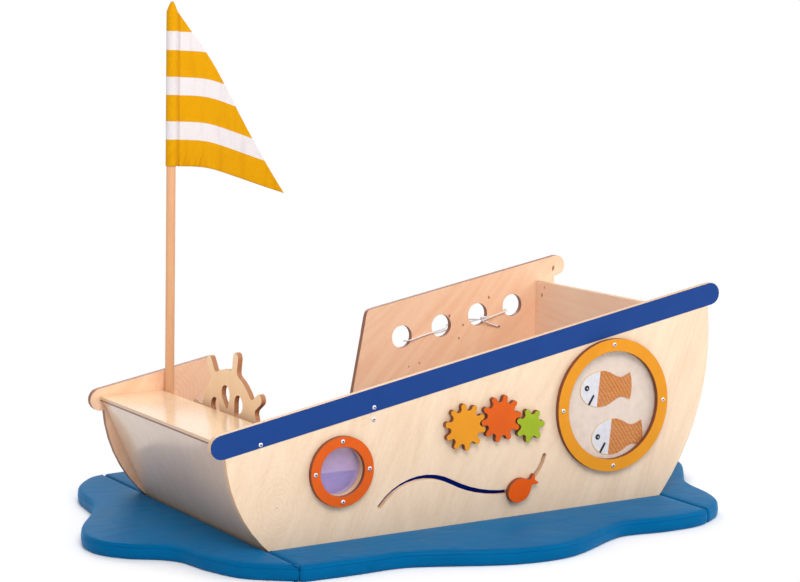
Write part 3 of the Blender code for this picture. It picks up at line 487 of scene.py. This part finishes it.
def round_bar(name, along):
    """Straight-grained beech, turned or sawn: fine flecks along its length under lacquer."""
    g = Graph(name)
    scales = tuple(2 if axis == along else 60 for axis in "XYZ")
    streaks = g.noise(g.stretch(g.place, scales), 1.6, 5, 0.55, 0.3)
    flecks = g.noise(g.stretch(g.place, tuple(s * 4 for s in scales)), 3, 3, 0.6)
    colour = g.ramp(g.weighed((streaks, 0.75), (flecks, 0.25)), (0.3, srgb(230, 178, 134)),
                    (0.55, srgb(222, 166, 122)), (0.8, srgb(205, 144, 100)))
    normal = g.bump(flecks, 0.0002, 0.3)
    return g.finish(colour, g.fade(streaks, 0.3, 0.7, 0.38, 0.48), normal, Specular_IOR_Level=0.3)


def pane(name, tint, body, haze, shine):
    """A thin plastic sheet with faint smudges, seen through for the most part."""
    g = Graph(name)
    smudge = g.noise(g.place, 9, 3, 0.6, 1.2)
    colour = g.mix(g.fade(smudge, 0.35, 0.7), tint, tuple(min(1, c * 1.12) for c in tint))
    g.put(g.shader.inputs["Alpha"], g.fade(smudge, 0.3, 0.75, body, body + haze))
    return g.finish(colour, g.fade(smudge, 0.3, 0.75, 0.05, 0.12), Specular_IOR_Level=shine)


def felt_disc():
    """Pale felt with darker fibres and a soft nap."""
    g = Graph("felt")
    fibre = g.noise(g.place, 900, 4, 0.7, 1.5)
    patch = g.noise(g.place, 45, 4, 0.6)
    colour = g.ramp(g.weighed((fibre, 0.6), (patch, 0.4)), (0.28, srgb(196, 174, 156)),
                    (0.48, srgb(217, 198, 182)), (0.75, srgb(228, 212, 198)))
    return g.finish(colour, 0.95, g.bump(fibre, 0.0008, 0.7), Sheen_Weight=0.25)


# Picture fish: places on them, from the nose's tip along and from the middle up
EYES = {"upper_fish": (0.0245, 0.0065), "lower_fish": (0.0225, 0.004)}
EYE_GLINT = (0.0016, -0.0006)
MOUTH_START, MOUTH_RUN = Vector((0.033, -0.042)), Vector((0.015, 0.023))
EYE_RADIUS, GLINT_RADIUS, MOUTH_RADIUS = 0.0091, 0.0026, 0.0044
HEAD_LENGTH = 0.0737
FACE_END = 0.0665
INK = srgb(4, 4, 5)
PENCIL_LINES = math.pi / 300


def fish_body(g, x, z):
    """Brown stain with wavy pencil lines."""
    run = g.plus(g.weighed((x, 0.82), (z, 0.57)), g.times(g.noise(g.place, 30, 2), 0.012))
    wood = g.noise(g.stretch(g.place, (20, 20, 120)), 2.2, 5, 0.6)
    brown = g.ramp(wood, (0.3, srgb(209, 137, 62)), (0.7, srgb(187, 111, 43)))
    lines = g.fade(g.wave(run, PENCIL_LINES), 0.1, 0.8, 0, 0.45)
    return g.mix(lines, brown, srgb(136, 66, 24)), wood


def fish_face(g, x, z, half):
    """White paint inside a yellowish rim that follows the round head."""
    white = g.mix(g.fade(g.noise(g.place, 60, 3), 0.3, 0.7), srgb(204, 201, 207), srgb(216, 213, 217))
    out = g.distance(g.over(g.minus(x, HEAD_LENGTH), HEAD_LENGTH), g.over(z, half))
    return g.mix(g.fade(out, 0.962, 0.978), white, srgb(226, 196, 120))


def picture_fish(node):
    """A fish cut from thin wood: white face with eye and mouth, brown body with fine pencil lines."""
    low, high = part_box(node)
    g = Graph(node + "_art")
    at = g.axes(g.place)
    x, z = g.minus(at[0], low[0]), g.minus(at[2], (low[2] + high[2]) / 2)
    body, wood = fish_body(g, x, z)
    slant = g.minus(x, g.times(z, 0.12))
    face = fish_face(g, x, z, (high[2] - low[2]) / 2)
    colour = g.mix(g.fade(slant, FACE_END, FACE_END + 0.001), face, body)
    eye_x, eye_z = EYES[node]
    glint_x, glint_z = eye_x + EYE_GLINT[0], eye_z + EYE_GLINT[1]
    eye = g.distance(g.minus(x, eye_x), g.minus(z, eye_z))
    colour = g.mix(g.fade(eye, EYE_RADIUS, EYE_RADIUS - 0.0009), colour, INK)
    glint = g.distance(g.minus(x, glint_x), g.minus(z, glint_z))
    colour = g.mix(g.fade(glint, GLINT_RADIUS, GLINT_RADIUS - 0.001), colour, srgb(200, 200, 210))
    dx, dz = g.minus(x, MOUTH_START.x), g.minus(z, MOUTH_START.y)
    step = MOUTH_RUN / MOUTH_RUN.length_squared
    share = g.plus(g.times(dx, step.x), g.times(dz, step.y), True)
    mouth = g.distance(g.minus(dx, g.times(share, MOUTH_RUN.x)), g.minus(dz, g.times(share, MOUTH_RUN.y)))
    colour = g.mix(g.fade(mouth, MOUTH_RADIUS, MOUTH_RADIUS - 0.0007), colour, INK)
    return g.finish(colour, 0.6, g.bump(wood, 0.0002, 0.3), Specular_IOR_Level=0.12)


def dress(material, *names):
    """Gives CAD nodes a material in their own slots."""
    for name in names:
        node = nodes[name]
        if not node.material_slots:
            node.data.materials.append(material)
        for slot in node.material_slots:
            slot.material = material


dress(board("birch_side", "Y", "X", CREAM, figure=0.09, turn=1.15, marks=NEAR_KNOTS,
            swirl=NEAR_SWIRL), "near_side_panel")
dress(board("birch_side_warm", "Y", "X", WARM_BOUNCE_LIT, RED_EDGES, figure=0.14, turn=0.75, marks=FAR_KNOTS,
            swirl=FAR_SWIRL), "far_side_panel")
dress(board("birch_upright", "X", "Y", WARM_BOUNCE_LIT), "bow_lower_board", "box_front_board")
# The bow board's birch is brighter still: painted light against the shade in the bow's corner
dress(board("birch_bow", "X", "Y", (srgb(255, 226, 198), srgb(249, 203, 170)), marks=BOW_HOLES),
      "bow_board")
dress(board("birch_transom", "X", "Z", (srgb(238, 210, 184), srgb(222, 190, 164)), gloss=0.35, figure=0.1,
            coat=0.7), "transom")
dress(board("birch_deck", "Z", "Y", (srgb(244, 213, 177), srgb(234, 196, 156)), gloss=0.2, figure=0.1,
            coat=0.5, joint=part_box("stern_deck")[0][2] + GLUE_AND_SHADOW_HEIGHT), "stern_deck")
dress(board("birch_inner", "Y", "X", WARM_BOUNCE_LIT, gloss=0.4), "porthole_inner_ring", "window_back_board")
dress(board("birch_wheel", "X", "Z", (srgb(255, 227, 187), srgb(252, 209, 165)), WHEEL_EDGES, 0.36, 0.1),
      "steering_wheel")
dress(board("beech_across", "Y", "X", (srgb(240, 190, 145), srgb(222, 160, 112)), BEECH_EDGES, 0.4),
      "deck_cleat_near", "deck_cleat_far", "near_inner_batten", "mast_guide_block", "mast_foot_block",
      "yellow_gear_cap", "orange_gear_cap", "green_gear_cap", "slider_back_disc")
dress(round_bar("beech_bar_across", "Y"),
      "yellow_gear_axle", "orange_gear_axle", "green_gear_axle", "slider_pin")
dress(round_bar("beech_bar_along", "X"), "wheel_spacer", "wheel_hub_cap", "wheel_axle_cap", "wheel_axle")
dress(round_bar("beech_mast", "Z"), "mast")
orange = painted("orange_coat", srgb(212, 88, 14))
yellow = painted("yellow_coat", srgb(219, 142, 26))
green = painted("green_coat", srgb(151, 171, 34))
dress(painted("blue_band", srgb(14, 59, 127), None),
      "near_blue_stripe", "far_blue_stripe_stern", "far_blue_stripe_bow")
dress(orange, "porthole_ring")
dress(painted("deep_orange_coat", srgb(222, 85, 0)), "slider_fish")
dress(yellow, "window_ring")
dress(pane("violet_pane", srgb(176, 160, 214), 0.46, 0.06, 0.3), "porthole_pane")
dress(pane("clear_pane", srgb(226, 224, 232), 0.012, 0.02, 0.06), "window_cover")
dress(felt_disc(), "picture_disc")
for name in EYES:
    dress(picture_fish(name), name)


# Gears: the CAD's teeth with the cutter's round ends and round gaps, and softened edges
TOOTH_END, GAP_END = 0.0088, 0.0096
ARC_STEPS = 12
# Softened edges, as steps inward and steps from the face
FRONT_EDGE = ((0.0009, 0), (0.00045, 0.00018), (0.0001, 0.0006), (0, 0.0012))
BACK_EDGE = ((0, 0.0012), (0.0001, 0.0006), (0.0009, 0))
GEARS = (("yellow_gear", 10, 0.0490, yellow), ("orange_gear", 10, 0.0490, orange),
         ("green_gear", 7, 0.0333, green))


def toothed_ring(teeth, root, tip, phase):
    """A gear's outline: half circles on the tips and in the gaps, by turns."""
    ring = []
    for k in range(2 * teeth):
        turn = phase + math.pi * k / teeth
        out, aside = Vector((math.cos(turn), math.sin(turn))), Vector((-math.sin(turn), math.cos(turn)))
        middle, radius, way = (root + GAP_END, GAP_END, -1) if k % 2 else (tip - TOOTH_END, TOOTH_END, 1)
        for i in range(ARC_STEPS + 1):
            bend = math.pi * (i / ARC_STEPS - 0.5)
            ring.append(out * (middle + way * radius * math.cos(bend)) + aside * radius * math.sin(bend))
    return ring


def painted_gear(name, teeth, root, material):
    """A gear with the CAD gear's tips, phase and faces."""
    node = nodes[name]
    axle = mid(name + "_axle")
    solid = [node.matrix_world @ v.co - axle for v in node.data.vertices]
    furthest = max(solid, key=lambda v: math.hypot(v.x, v.z))
    ring = toothed_ring(teeth, root, math.hypot(furthest.x, furthest.z), math.atan2(furthest.z, furthest.x))
    front, back = (axle.y + pick(v.y for v in solid) for pick in (min, max))
    profile = [(into, front + depth) for into, depth in FRONT_EDGE]
    profile += [(into, back - depth) for into, depth in BACK_EDGE]
    form = bmesh.new()
    loops = []
    for into, y in profile:
        loops.append([form.verts.new((axle.x + p.x, y, axle.z + p.y)) for p in inset(ring, into)])
    bridge(form, loops)
    form.faces.new(loops[0])
    form.faces.new(loops[-1])
    bmesh.ops.recalc_face_normals(form, faces=form.faces)
    gear = link(name + "_painted", form, material, name + "_turn", smooth=False)
    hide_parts(name)


for name, teeth, root, material in GEARS:
    painted_gear(name, teeth, root, material)


# Pennant: fine cloth sewn to a sleeve round the mast, in the CAD pennant's place, coloured across its hoist
MAST, MAST_TOP = 0.014, 1.498
MAST_LEAN = math.atan(0.0225)
MAST_AXIS = Vector((math.sin(MAST_LEAN), 0, math.cos(MAST_LEAN)))
MAST_WRAP = 0.0159
CLOTH = 0.0012
HOIST, POCKET, SLEEVE, FLY, LINE = 0.49, 0.032, 0.0215, 0.384, 0.485
YELLOW_BANDS = ((0.0, 0.08), (0.1345, 0.2135), (0.2675, 0.347), (0.403, 0.5))
HEM, STITCHES_IN, STITCH, THREAD = 0.0085, 0.0012, 0.0032, 0.0009
# The free cloth: it sags past a distance from the mast, billows, puckers at its foot and hangs slack
SAG_FROM, SAG_ROUND, SAG_SLOPE = 0.11, 0.04, 0.33
BILLOW, PUCKER, GATHERS, SLACK = 0.011, 0.0034, 0.026, 0.0016
ROWS, POCKET_ROWS, SEAM_STEPS, WRAP_STEPS, FLY_STEPS = 96, 10, 5, 26, 60


def flag_material():
    """Striped cloth: yellow bands on white, seams, stitches, weave, shade in groove, creases and gathers."""
    g = Graph("striped_cloth")
    out, up, _ = g.axes(g.uv)
    slub = g.noise(g.place, 260, 3, 0.6)
    yellow_cloth = g.ramp(slub, (0.3, srgb(213, 148, 0)), (0.7, srgb(221, 157, 2)))
    white_cloth = g.ramp(slub, (0.3, srgb(222, 214, 214)), (0.7, srgb(228, 221, 221)))
    share, seam = 0.0, 0.0
    for low, high in YELLOW_BANDS:
        band = g.times(g.fade(up, low - 0.0003, low + 0.0003), g.fade(up, high + 0.0003, high - 0.0003))
        share = g.plus(band, share, True)
        for edge in (low, high):
            seam = g.math("MAXIMUM", g.near(up, edge, 0.0022, 0.0006), seam)
    sleeve_line = g.near(out, SLEEVE - STITCHES_IN, 0.0009, 0.0005)
    foot_line = g.near(up, HEM, 0.0008, 0.0004)
    stitch = g.math("MAXIMUM", g.times(sleeve_line, g.fade(g.wave(up, STITCH), -0.2, 0.1)),
                    g.times(foot_line, g.fade(g.wave(out, STITCH), -0.2, 0.1)))
    crease = g.fade(g.noise(g.stretch(g.uv, (34, 5, 1)), 1.0, 3, 0.5, 0.6), 0.52, 0.75, 0, 0.2)
    groove = g.near(out, SLEEVE + 0.002, 0.006, 0.001)
    gathers = g.fade(g.wave(g.plus(out, g.times(up, -0.3)), 0.017), 0.1, 1)
    gathers = g.times(gathers, g.times(g.fade(up, 0.06, 0.01), g.fade(out, 0.13, 0.1)))
    shade = g.plus(g.plus(g.times(groove, 0.4), crease), g.times(gathers, 0.22), True)
    colour = g.mix(share, white_cloth, yellow_cloth)
    colour = g.mix(shade, colour, g.mix(share, srgb(150, 132, 140), srgb(168, 96, 0)))
    colour = g.mix(g.times(stitch, 0.35), colour, srgb(190, 120, 10))
    weave = g.times(g.wave(out, THREAD), g.wave(up, THREAD))
    relief = g.weighed((weave, 0.25), (stitch, 0.6), (seam, 0.8))
    return g.finish(colour, 0.82, g.bump(relief, 0.0004, 0.6), Specular_IOR_Level=0.1)


def flying(out, height, seam):
    """The free cloth's place across the mast and its sag, at a distance out and a height."""
    share = (out - seam) / (FLY - SLEEVE)
    beyond = out - SAG_FROM
    sag = SAG_SLOPE * (beyond + math.hypot(beyond, SAG_ROUND)) / 2
    billow = BILLOW * math.sin(2 * math.pi * share) * min(1, 3 * share)
    gather = math.exp(-height / 0.05) * math.exp(-((out - 0.085) / 0.045)**2) * min(1, (out - seam) / 0.012)
    pucker = PUCKER * gather * math.sin(2 * math.pi * (out - 0.25 * height) / GATHERS)
    slack = SLACK * math.sin(40 * out + 9 * height) * min(1, 4 * share) * math.sin(14 * height + 1)
    return pucker + slack - billow, -sag


def pennant_row(height, closed):
    """One row of the cloth: from the seam round the mast, back to the seam and out along the fly.
    A point has its place out from and across the mast, its sag, and its place on the cloth."""
    past = max(0, (height - closed) / (HOIST - closed))
    wrap = MAST_WRAP + (0.003 - MAST_WRAP) * past**1.2
    reach = max(wrap + 0.0026, FLY * (1 - height / LINE))
    seam = min(SLEEVE, reach - 0.001)
    apart = 0.9 * CLOTH
    clear = math.acos(wrap / seam)
    touch_x, touch_y = wrap * math.cos(clear), wrap * math.sin(clear)
    row = []
    for i in range(SEAM_STEPS):
        share = i / SEAM_STEPS
        x, y = seam + (touch_x - seam) * share, apart + (touch_y - apart) * share
        row.append((x, y, 0, -seam * share))
    for i in range(WRAP_STEPS + 1):
        turn = clear + (2 * math.pi - 2 * clear) * i / WRAP_STEPS
        row.append((wrap * math.cos(turn), wrap * math.sin(turn), 0, -seam + i * 0.001))
    for i in range(1, SEAM_STEPS):
        share = i / SEAM_STEPS
        x, y = touch_x + (seam - touch_x) * share, -touch_y + (touch_y - apart) * share
        row.append((x, y, 0, seam * share))
    for i in range(FLY_STEPS + 1):
        out = seam + (reach - seam) * i / FLY_STEPS
        across, sag = flying(out, height, seam)
        row.append((out, -apart + across, sag, out))
    return row


def pennant():
    form = bmesh.new()
    layer = form.loops.layers.uv.new("cloth")
    closed = HOIST - POCKET + CLOTH
    heights = [closed * j / ROWS for j in range(ROWS + 1)]
    heights += [closed + (HOIST - closed) * j / POCKET_ROWS for j in range(1, POCKET_ROWS + 1)]
    net = []
    for height in heights:
        row = pennant_row(height, closed)
        net.append([(form.verts.new((x, y, height + sag)), u, height) for x, y, sag, u in row])
    area = 0
    for below, above in zip(net, net[1:]):
        for corners in zip(below, below[1:], above[1:], above):
            face = form.faces.new([c[0] for c in corners])
            area += face.calc_area()
            for loop, corner in zip(face.loops, corners):
                loop[layer].uv = corner[1:]
    low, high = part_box("mast")
    mast_foot = Vector((low[0] + MAST * MAST_AXIS.z, (low[1] + high[1]) / 2, low[2]))
    foot_height = MAST_TOP - (HOIST - POCKET) * MAST_AXIS.z
    start = mast_foot + MAST_AXIS * ((foot_height - mast_foot.z) / MAST_AXIS.z)
    across_mast = Vector((MAST_AXIS.z, 0, -MAST_AXIS.x))
    for vert in form.verts:
        x, y, z = vert.co
        vert.co = start + MAST_AXIS * z + across_mast * x + Vector((0, y, 0))
    flag = link("pennant_cloth", form, flag_material(), "pennant")
    shell = flag.modifiers.new("cloth", "SOLIDIFY")
    shell.thickness = CLOTH
    shell.offset = 0
    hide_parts("flag")


pennant()


# Foam mats: outline from the CAD solid, a pinched seam under the rounded top edge, a slight crown
MAT_TOP, FLOOR_MAT_TOP = 0.0448, 0.0358
CROWN, CROWN_RUN = 0.0022, 0.03
SKIN_SLACK = 0.0008
# The wall, as steps inward at heights of a mat that is MAT_TOP high
WALL = ((0.010, 0.0), (0.004, 0.0016), (0.0008, 0.006), (-0.0006, 0.014), (-0.001, 0.022),
        (-0.0004, 0.029), (0.0004, 0.0318), (0.0017, 0.0330), (0.0004, 0.0342), (0.0006, 0.037),
        (0.0022, 0.0405), (0.0052, 0.0433), (0.0095, MAT_TOP))
OUTLINE_LEVEL = 0.02
CURVE_PART = 0.055
SHARP_CORNER, STRAIGHT = 0.7, 0.004


def leather(name, low, high, shine, sheen):
    """Blue artificial leather: fine grain, soft wrinkles, a satin face."""
    g = Graph(name)
    cells = g.add("TexVoronoi", {"Vector": g.place, "Scale": 620.0, "Randomness": 1.0}, "Distance",
                  feature="SMOOTH_F1")
    wide = g.noise(g.stretch(g.place, (1, 1, 3)), 7, 3, 0.55, 0.8)
    fold = g.noise(g.stretch(g.place, (5, 9, 5), (0, 0, 0.5)), 1.0, 2, 0.45, 1.6)
    colour = g.ramp(g.weighed((wide, 0.7), (fold, 0.3)), (0.3, low), (0.7, high))
    soft = g.bump(g.weighed((wide, 1.0), (fold, 0.35)), 0.006, 0.55)
    normal = g.bump(cells, 0.0003, 0.3, soft)
    return g.finish(colour, g.fade(wide, 0.3, 0.7, 0.32, 0.42), normal, Specular_IOR_Level=shine,
                    Sheen_Weight=sheen, Sheen_Roughness=0.4, Sheen_Tint=(0.05, 0.5, 1.0, 1.0))


def outline_of(node):
    """The solid's outline at one height of its wall, in order."""
    form = bmesh.new()
    form.from_mesh(nodes[node].data)
    bmesh.ops.remove_doubles(form, verts=form.verts, dist=1e-5)
    cut = bmesh.ops.bisect_plane(form, geom=form.verts[:] + form.edges[:] + form.faces[:],
                                 plane_co=(0, 0, OUTLINE_LEVEL), plane_no=(0, 0, 1))["geom_cut"]
    edges = [e for e in cut if isinstance(e, bmesh.types.BMEdge)]
    start = edges[0]
    ring, edge, vert = [], start, start.verts[0]
    allowed = set(edges)
    while True:
        ring.append(vert.co.to_2d())
        vert = edge.other_vert(vert)
        following = [e for e in vert.link_edges if e in allowed and e is not edge]
        if not following or following[0] is start:
            break
        edge = following[0]
    form.free()
    return ring


def bend_at(ring, i):
    """The turn of a closed outline at one of its points."""
    a, b = ring[i] - ring[i - 1], ring[(i + 1) % len(ring)] - ring[i]
    return abs(a.angle_signed(b)) if a.length > 1e-6 and b.length > 1e-6 else 0


def without_straights(ring):
    """An outline without doubled points and points on straight runs."""
    kept = []
    for point in ring:
        if not kept or (point - kept[-1]).length > 1e-4:
            kept.append(point)
    return [p for i, p in enumerate(kept) if bend_at(kept, i) > STRAIGHT]


def even(ring, spacing):
    """A closed outline resampled evenly: curved between its true corners, which stay where they are."""
    ring = without_straights(ring)
    short = []
    for i, point in enumerate(ring):
        start = ring[i - 1]
        count = int((point - start).length / CURVE_PART) + 1
        short += [start.lerp(point, (k + 1) / count) for k in range(count)]
    sharp = [i for i in range(len(short)) if bend_at(short, i) > SHARP_CORNER] or [0]
    out = []
    for k, first in enumerate(sharp):
        last = sharp[(k + 1) % len(sharp)]
        count = (last - first) % len(short) or len(short)
        run = [short[(first + i) % len(short)].to_3d() for i in range(count + 1)]
        out += [p.to_2d() for p in smooth_route(run, spacing)[0][:-1]]
    area = sum(a.cross(b) for a, b in zip(out, out[1:] + out[:1]))
    return out if area > 0 else out[::-1]


def relaxed(ring, times):
    """A ring whose points have moved towards their neighbours a few times."""
    for _ in range(times):
        ring = [(ring[i - 1] + 2 * p + ring[(i + 1) % len(ring)]) / 4 for i, p in enumerate(ring)]
    return ring


def top_points(border, tree, low, high, wave):
    """Points for a mat's top: its border, a grid of triangles inside, and two rings along the border."""
    points = list(border)
    for i in range(int((high[0] - low[0]) / wave) + 1):
        for j in range(int((high[1] - low[1]) / wave) + 1):
            p = Vector((low[0] + (i + 0.5 * (j % 2)) * wave, low[1] + j * wave * 0.87))
            if tree.find(p.to_3d())[2] > wave * 0.6 and inside(border, p):
                points.append(p)
    for step in (0.012, 0.026):
        for p in inset(border[::2], step):
            if tree.find(p.to_3d())[2] > step * 0.97 and inside(border, p):
                points.append(p)
    return points


def foam_mat(node, top, skin, spacing, wave):
    """A padded mat: a wall with a pinched seam, and a top that rises a little away from its border."""
    ring = relaxed(even(outline_of(node), spacing), 3)
    low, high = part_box(node)
    scale = top / MAT_TOP
    form = bmesh.new()
    loops = []
    for into, height in WALL:
        points = inset(ring, into + SKIN_SLACK)
        loops.append([form.verts.new((p.x, p.y, low[2] + height * scale)) for p in points])
    bridge(form, loops)
    form.faces.new(loops[0][::-1])
    border = [v.co.to_2d() for v in loops[-1]]
    tree = KDTree(len(border))
    for i, p in enumerate(border):
        tree.insert(p.to_3d(), i)
    tree.balance()
    spots_on_top = top_points(border, tree, low, high, wave)
    edges = [(i, (i + 1) % len(border)) for i in range(len(border))]
    points, _, faces, origins, _, _ = delaunay_2d_cdt(spots_on_top, edges, [], 1, 1e-5)
    verts = []
    for p, origin in zip(points, origins):
        on_border = [o for o in origin if o < len(border)]
        if on_border:
            verts.append(loops[-1][on_border[0]])
            continue
        crown = CROWN * (1 - math.exp(-tree.find(p.to_3d())[2] / CROWN_RUN))
        verts.append(form.verts.new((p.x, p.y, low[2] + MAT_TOP * scale + crown)))
    for face in faces:
        corners = [verts[i] for i in face]
        middle = sum((points[i] for i in face), Vector((0, 0))) / len(face)
        if len(set(corners)) == len(corners) and inside(border, middle):
            form.faces.new(corners)
    bmesh.ops.recalc_face_normals(form, faces=form.faces)
    piece = link(node + "_padded", form, skin, "hull")
    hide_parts(node)


water_leather = leather("mat_leather", srgb(0, 87, 136), srgb(0, 96, 148), 0.025, 0.25)
# The floor mat inside the hull: the mats' leather made a darker navy, painted shade for the light the hull
# keeps off it
floor_leather_painted_shade = leather("floor_leather_painted_shade", srgb(2, 20, 96), srgb(4, 26, 110), 0, 0)
for name in ("near_mat", "far_mat", "stern_mat", "bow_mat"):
    foam_mat(name, MAT_TOP, water_leather, 0.009, 0.028)
foam_mat("floor_mat", FLOOR_MAT_TOP, floor_leather_painted_shade, 0.02, 0.06)


# Screws: domed steel heads with a six-sided socket, standing out of the near side and its rings
SCREW_HEAD = 0.0066
SCREW_SIDES = 24
# The head's and the socket's profile: sevenths of the head's radius, and millimetres out from its seat
HEAD_PROFILE = ((7, 0), (7, 0.5), (6.6, 1.1), (5.6, 1.7), (4.2, 2.1), (3.5, 2.2))
SOCKET_PROFILE = ((3.1, 2.1), (2.9, 0.7))
# Screws by themselves: name, place along, height, the piece they hold and how far they sink into it
SINGLE_SCREWS = (("band_stern", -0.692, 0.3405, "near_blue_stripe", 0.0002),
                 ("band_middle", -0.336, 0.4095, "near_blue_stripe", 0.0002),
                 ("side_middle", -0.3375, 0.3755, "near_side_panel", -0.0001))
RING_SCREWS = (("porthole", 0.0855), ("window", 0.1825))
OFF_RING = 0.0001


def steel(name, low, high):
    g = Graph(name)
    brush = g.noise(g.stretch(g.place, (300, 300, 2400)), 1.0, 3, 0.6)
    colour = g.ramp(g.noise(g.place, 200, 3), (0.3, low), (0.7, high))
    return g.finish(colour, g.fade(brush, 0.2, 0.8, 0.24, 0.4), g.bump(brush, 0.00005, 0.4), Metallic=1.0)


def screw(name, x, y, z, materials):
    """A head whose back lies at the place and whose face looks to -Y."""
    form = bmesh.new()
    loops = []
    for reach, out in HEAD_PROFILE + SOCKET_PROFILE:
        loop = []
        for k in range(SCREW_SIDES):
            turn = 2 * math.pi * k / SCREW_SIDES
            radius = reach * SCREW_HEAD / 7
            if (reach, out) in SOCKET_PROFILE:
                radius *= math.cos(math.pi / 6) / math.cos(turn % (math.pi / 3) - math.pi / 6)
            across, up = radius * math.cos(turn), radius * math.sin(turn)
            loop.append(form.verts.new((x + across, y - out / 1000, z + up)))
        loops.append(loop)
    bridge(form, loops)
    form.faces.new(loops[0])
    form.faces.new(loops[-1])
    # The socket's wall and floor take the second, darker steel: painted shade in the recess
    for face in form.faces:
        if all(v in loops[-1] + loops[-2] for v in face.verts):
            face.material_index = 1
    bmesh.ops.recalc_face_normals(form, faces=form.faces)
    head = link("screw_" + name, form, materials[0])
    head.data.materials.append(materials[1])
    bevel = head.modifiers.new("edge", "BEVEL")
    bevel.width = 0.00015
    bevel.segments = 2
    bevel.limit_method = "ANGLE"


# The second steel is a dark copy of the first for the sockets: painted shade inside the recess
screw_steels = (steel("screw_steel", srgb(196, 196, 206), srgb(224, 224, 232)),
                steel("screw_socket_painted_shade", srgb(70, 70, 88), srgb(96, 96, 112)))
for name, x, z, piece, sunk in SINGLE_SCREWS:
    screw(name, x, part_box(piece)[0][1] + sunk, z, screw_steels)
for k in range(4):
    turn = k * math.pi / 2
    for ring, radius in RING_SCREWS:
        middle, face = mid(ring + "_ring"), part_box(ring + "_ring")[0][1]
        screw("%s_%d" % (ring, k), middle.x + radius * math.cos(turn), face - OFF_RING,
              middle.z + radius * math.sin(turn), screw_steels)


# Studio: a plain pale floor that fades to the white background, three soft lamps and an even sky
def studio_floor():
    form = bmesh.new()
    bmesh.ops.create_grid(form, x_segments=8, y_segments=8, size=14)
    mesh = bpy.data.meshes.new("floor")
    form.to_mesh(mesh)
    form.free()
    floor = bpy.data.objects.new("floor", mesh)
    bpy.context.scene.collection.objects.link(floor)
    g = Graph("studio_floor")
    pale = g.ramp(g.noise(g.place, 1.2, 3, 0.5), (0.3, srgb(247, 247, 248)), (0.7, srgb(251, 251, 251)))
    mesh.materials.append(g.finish(pale, 0.7, g.bump(g.noise(g.place, 300, 2), 0.0002, 0.2)))
    away = g.add("VectorMath", {0: g.stretch(g.place, (0.85, 1.1, 0))}, "Value", operation="LENGTH")
    seen = g.times(g.add("LightPath", {}, "Is Camera Ray"), g.fade(away, 0.95, 1.3))
    glow = g.add("Emission", {"Color": (1.0, 1.0, 1.0), "Strength": 1.0})
    g.put(g.output.inputs["Surface"], g.add("MixShader", {0: seen, 1: g.shader.outputs[0], 2: glow}))


def lamp(name, place, target, size, watts, tint):
    """A round soft lamp at a place, turned to its target."""
    light = bpy.data.lights.new(name, "AREA")
    light.shape = "DISK"
    light.size = size
    light.energy = watts
    light.color = tint
    obj = bpy.data.objects.new(name, light)
    obj.location = place
    obj.rotation_euler = (Vector(target) - Vector(place)).to_track_quat("-Z", "Y").to_euler()
    bpy.context.scene.collection.objects.link(obj)


def sky():
    """White where the camera sees it, straight, mirrored or through a pane, and a dimmer cool light else."""
    world = bpy.data.worlds.new("studio")
    bpy.context.scene.world = world
    world.use_nodes = True
    tree = world.node_tree
    tree.nodes.clear()
    path = tree.nodes.new("ShaderNodeLightPath")
    seen = path.outputs["Is Camera Ray"]
    for ray in ("Is Glossy Ray", "Is Transmission Ray"):
        either = tree.nodes.new("ShaderNodeMath")
        either.operation = "MAXIMUM"
        tree.links.new(seen, either.inputs[0])
        tree.links.new(path.outputs[ray], either.inputs[1])
        seen = either.outputs[0]
    blend = tree.nodes.new("ShaderNodeMixShader")
    tree.links.new(seen, blend.inputs[0])
    for socket, colour, strength in ((1, (0.93, 0.96, 1, 1), 0.62), (2, (1, 1, 1, 1), 1.0)):
        light = tree.nodes.new("ShaderNodeBackground")
        light.inputs["Color"].default_value = colour
        light.inputs["Strength"].default_value = strength
        tree.links.new(light.outputs[0], blend.inputs[socket])
    world_out = tree.nodes.new("ShaderNodeOutputWorld")
    tree.links.new(blend.outputs[0], world_out.inputs[0])


studio_floor()
lamp("key", (-1.7, -4.3, 4.6), (0, 0, 0.3), 3.0, 203, (1, 0.98, 0.95))
lamp("fill", (4.2, -3.2, 3.0), (0.3, 0, 0.4), 3.5, 95, (0.95, 0.97, 1))
lamp("back", (0.8, 4.6, 4.2), (0, 0, 0.5), 3.5, 110, (1, 1, 1))
sky()
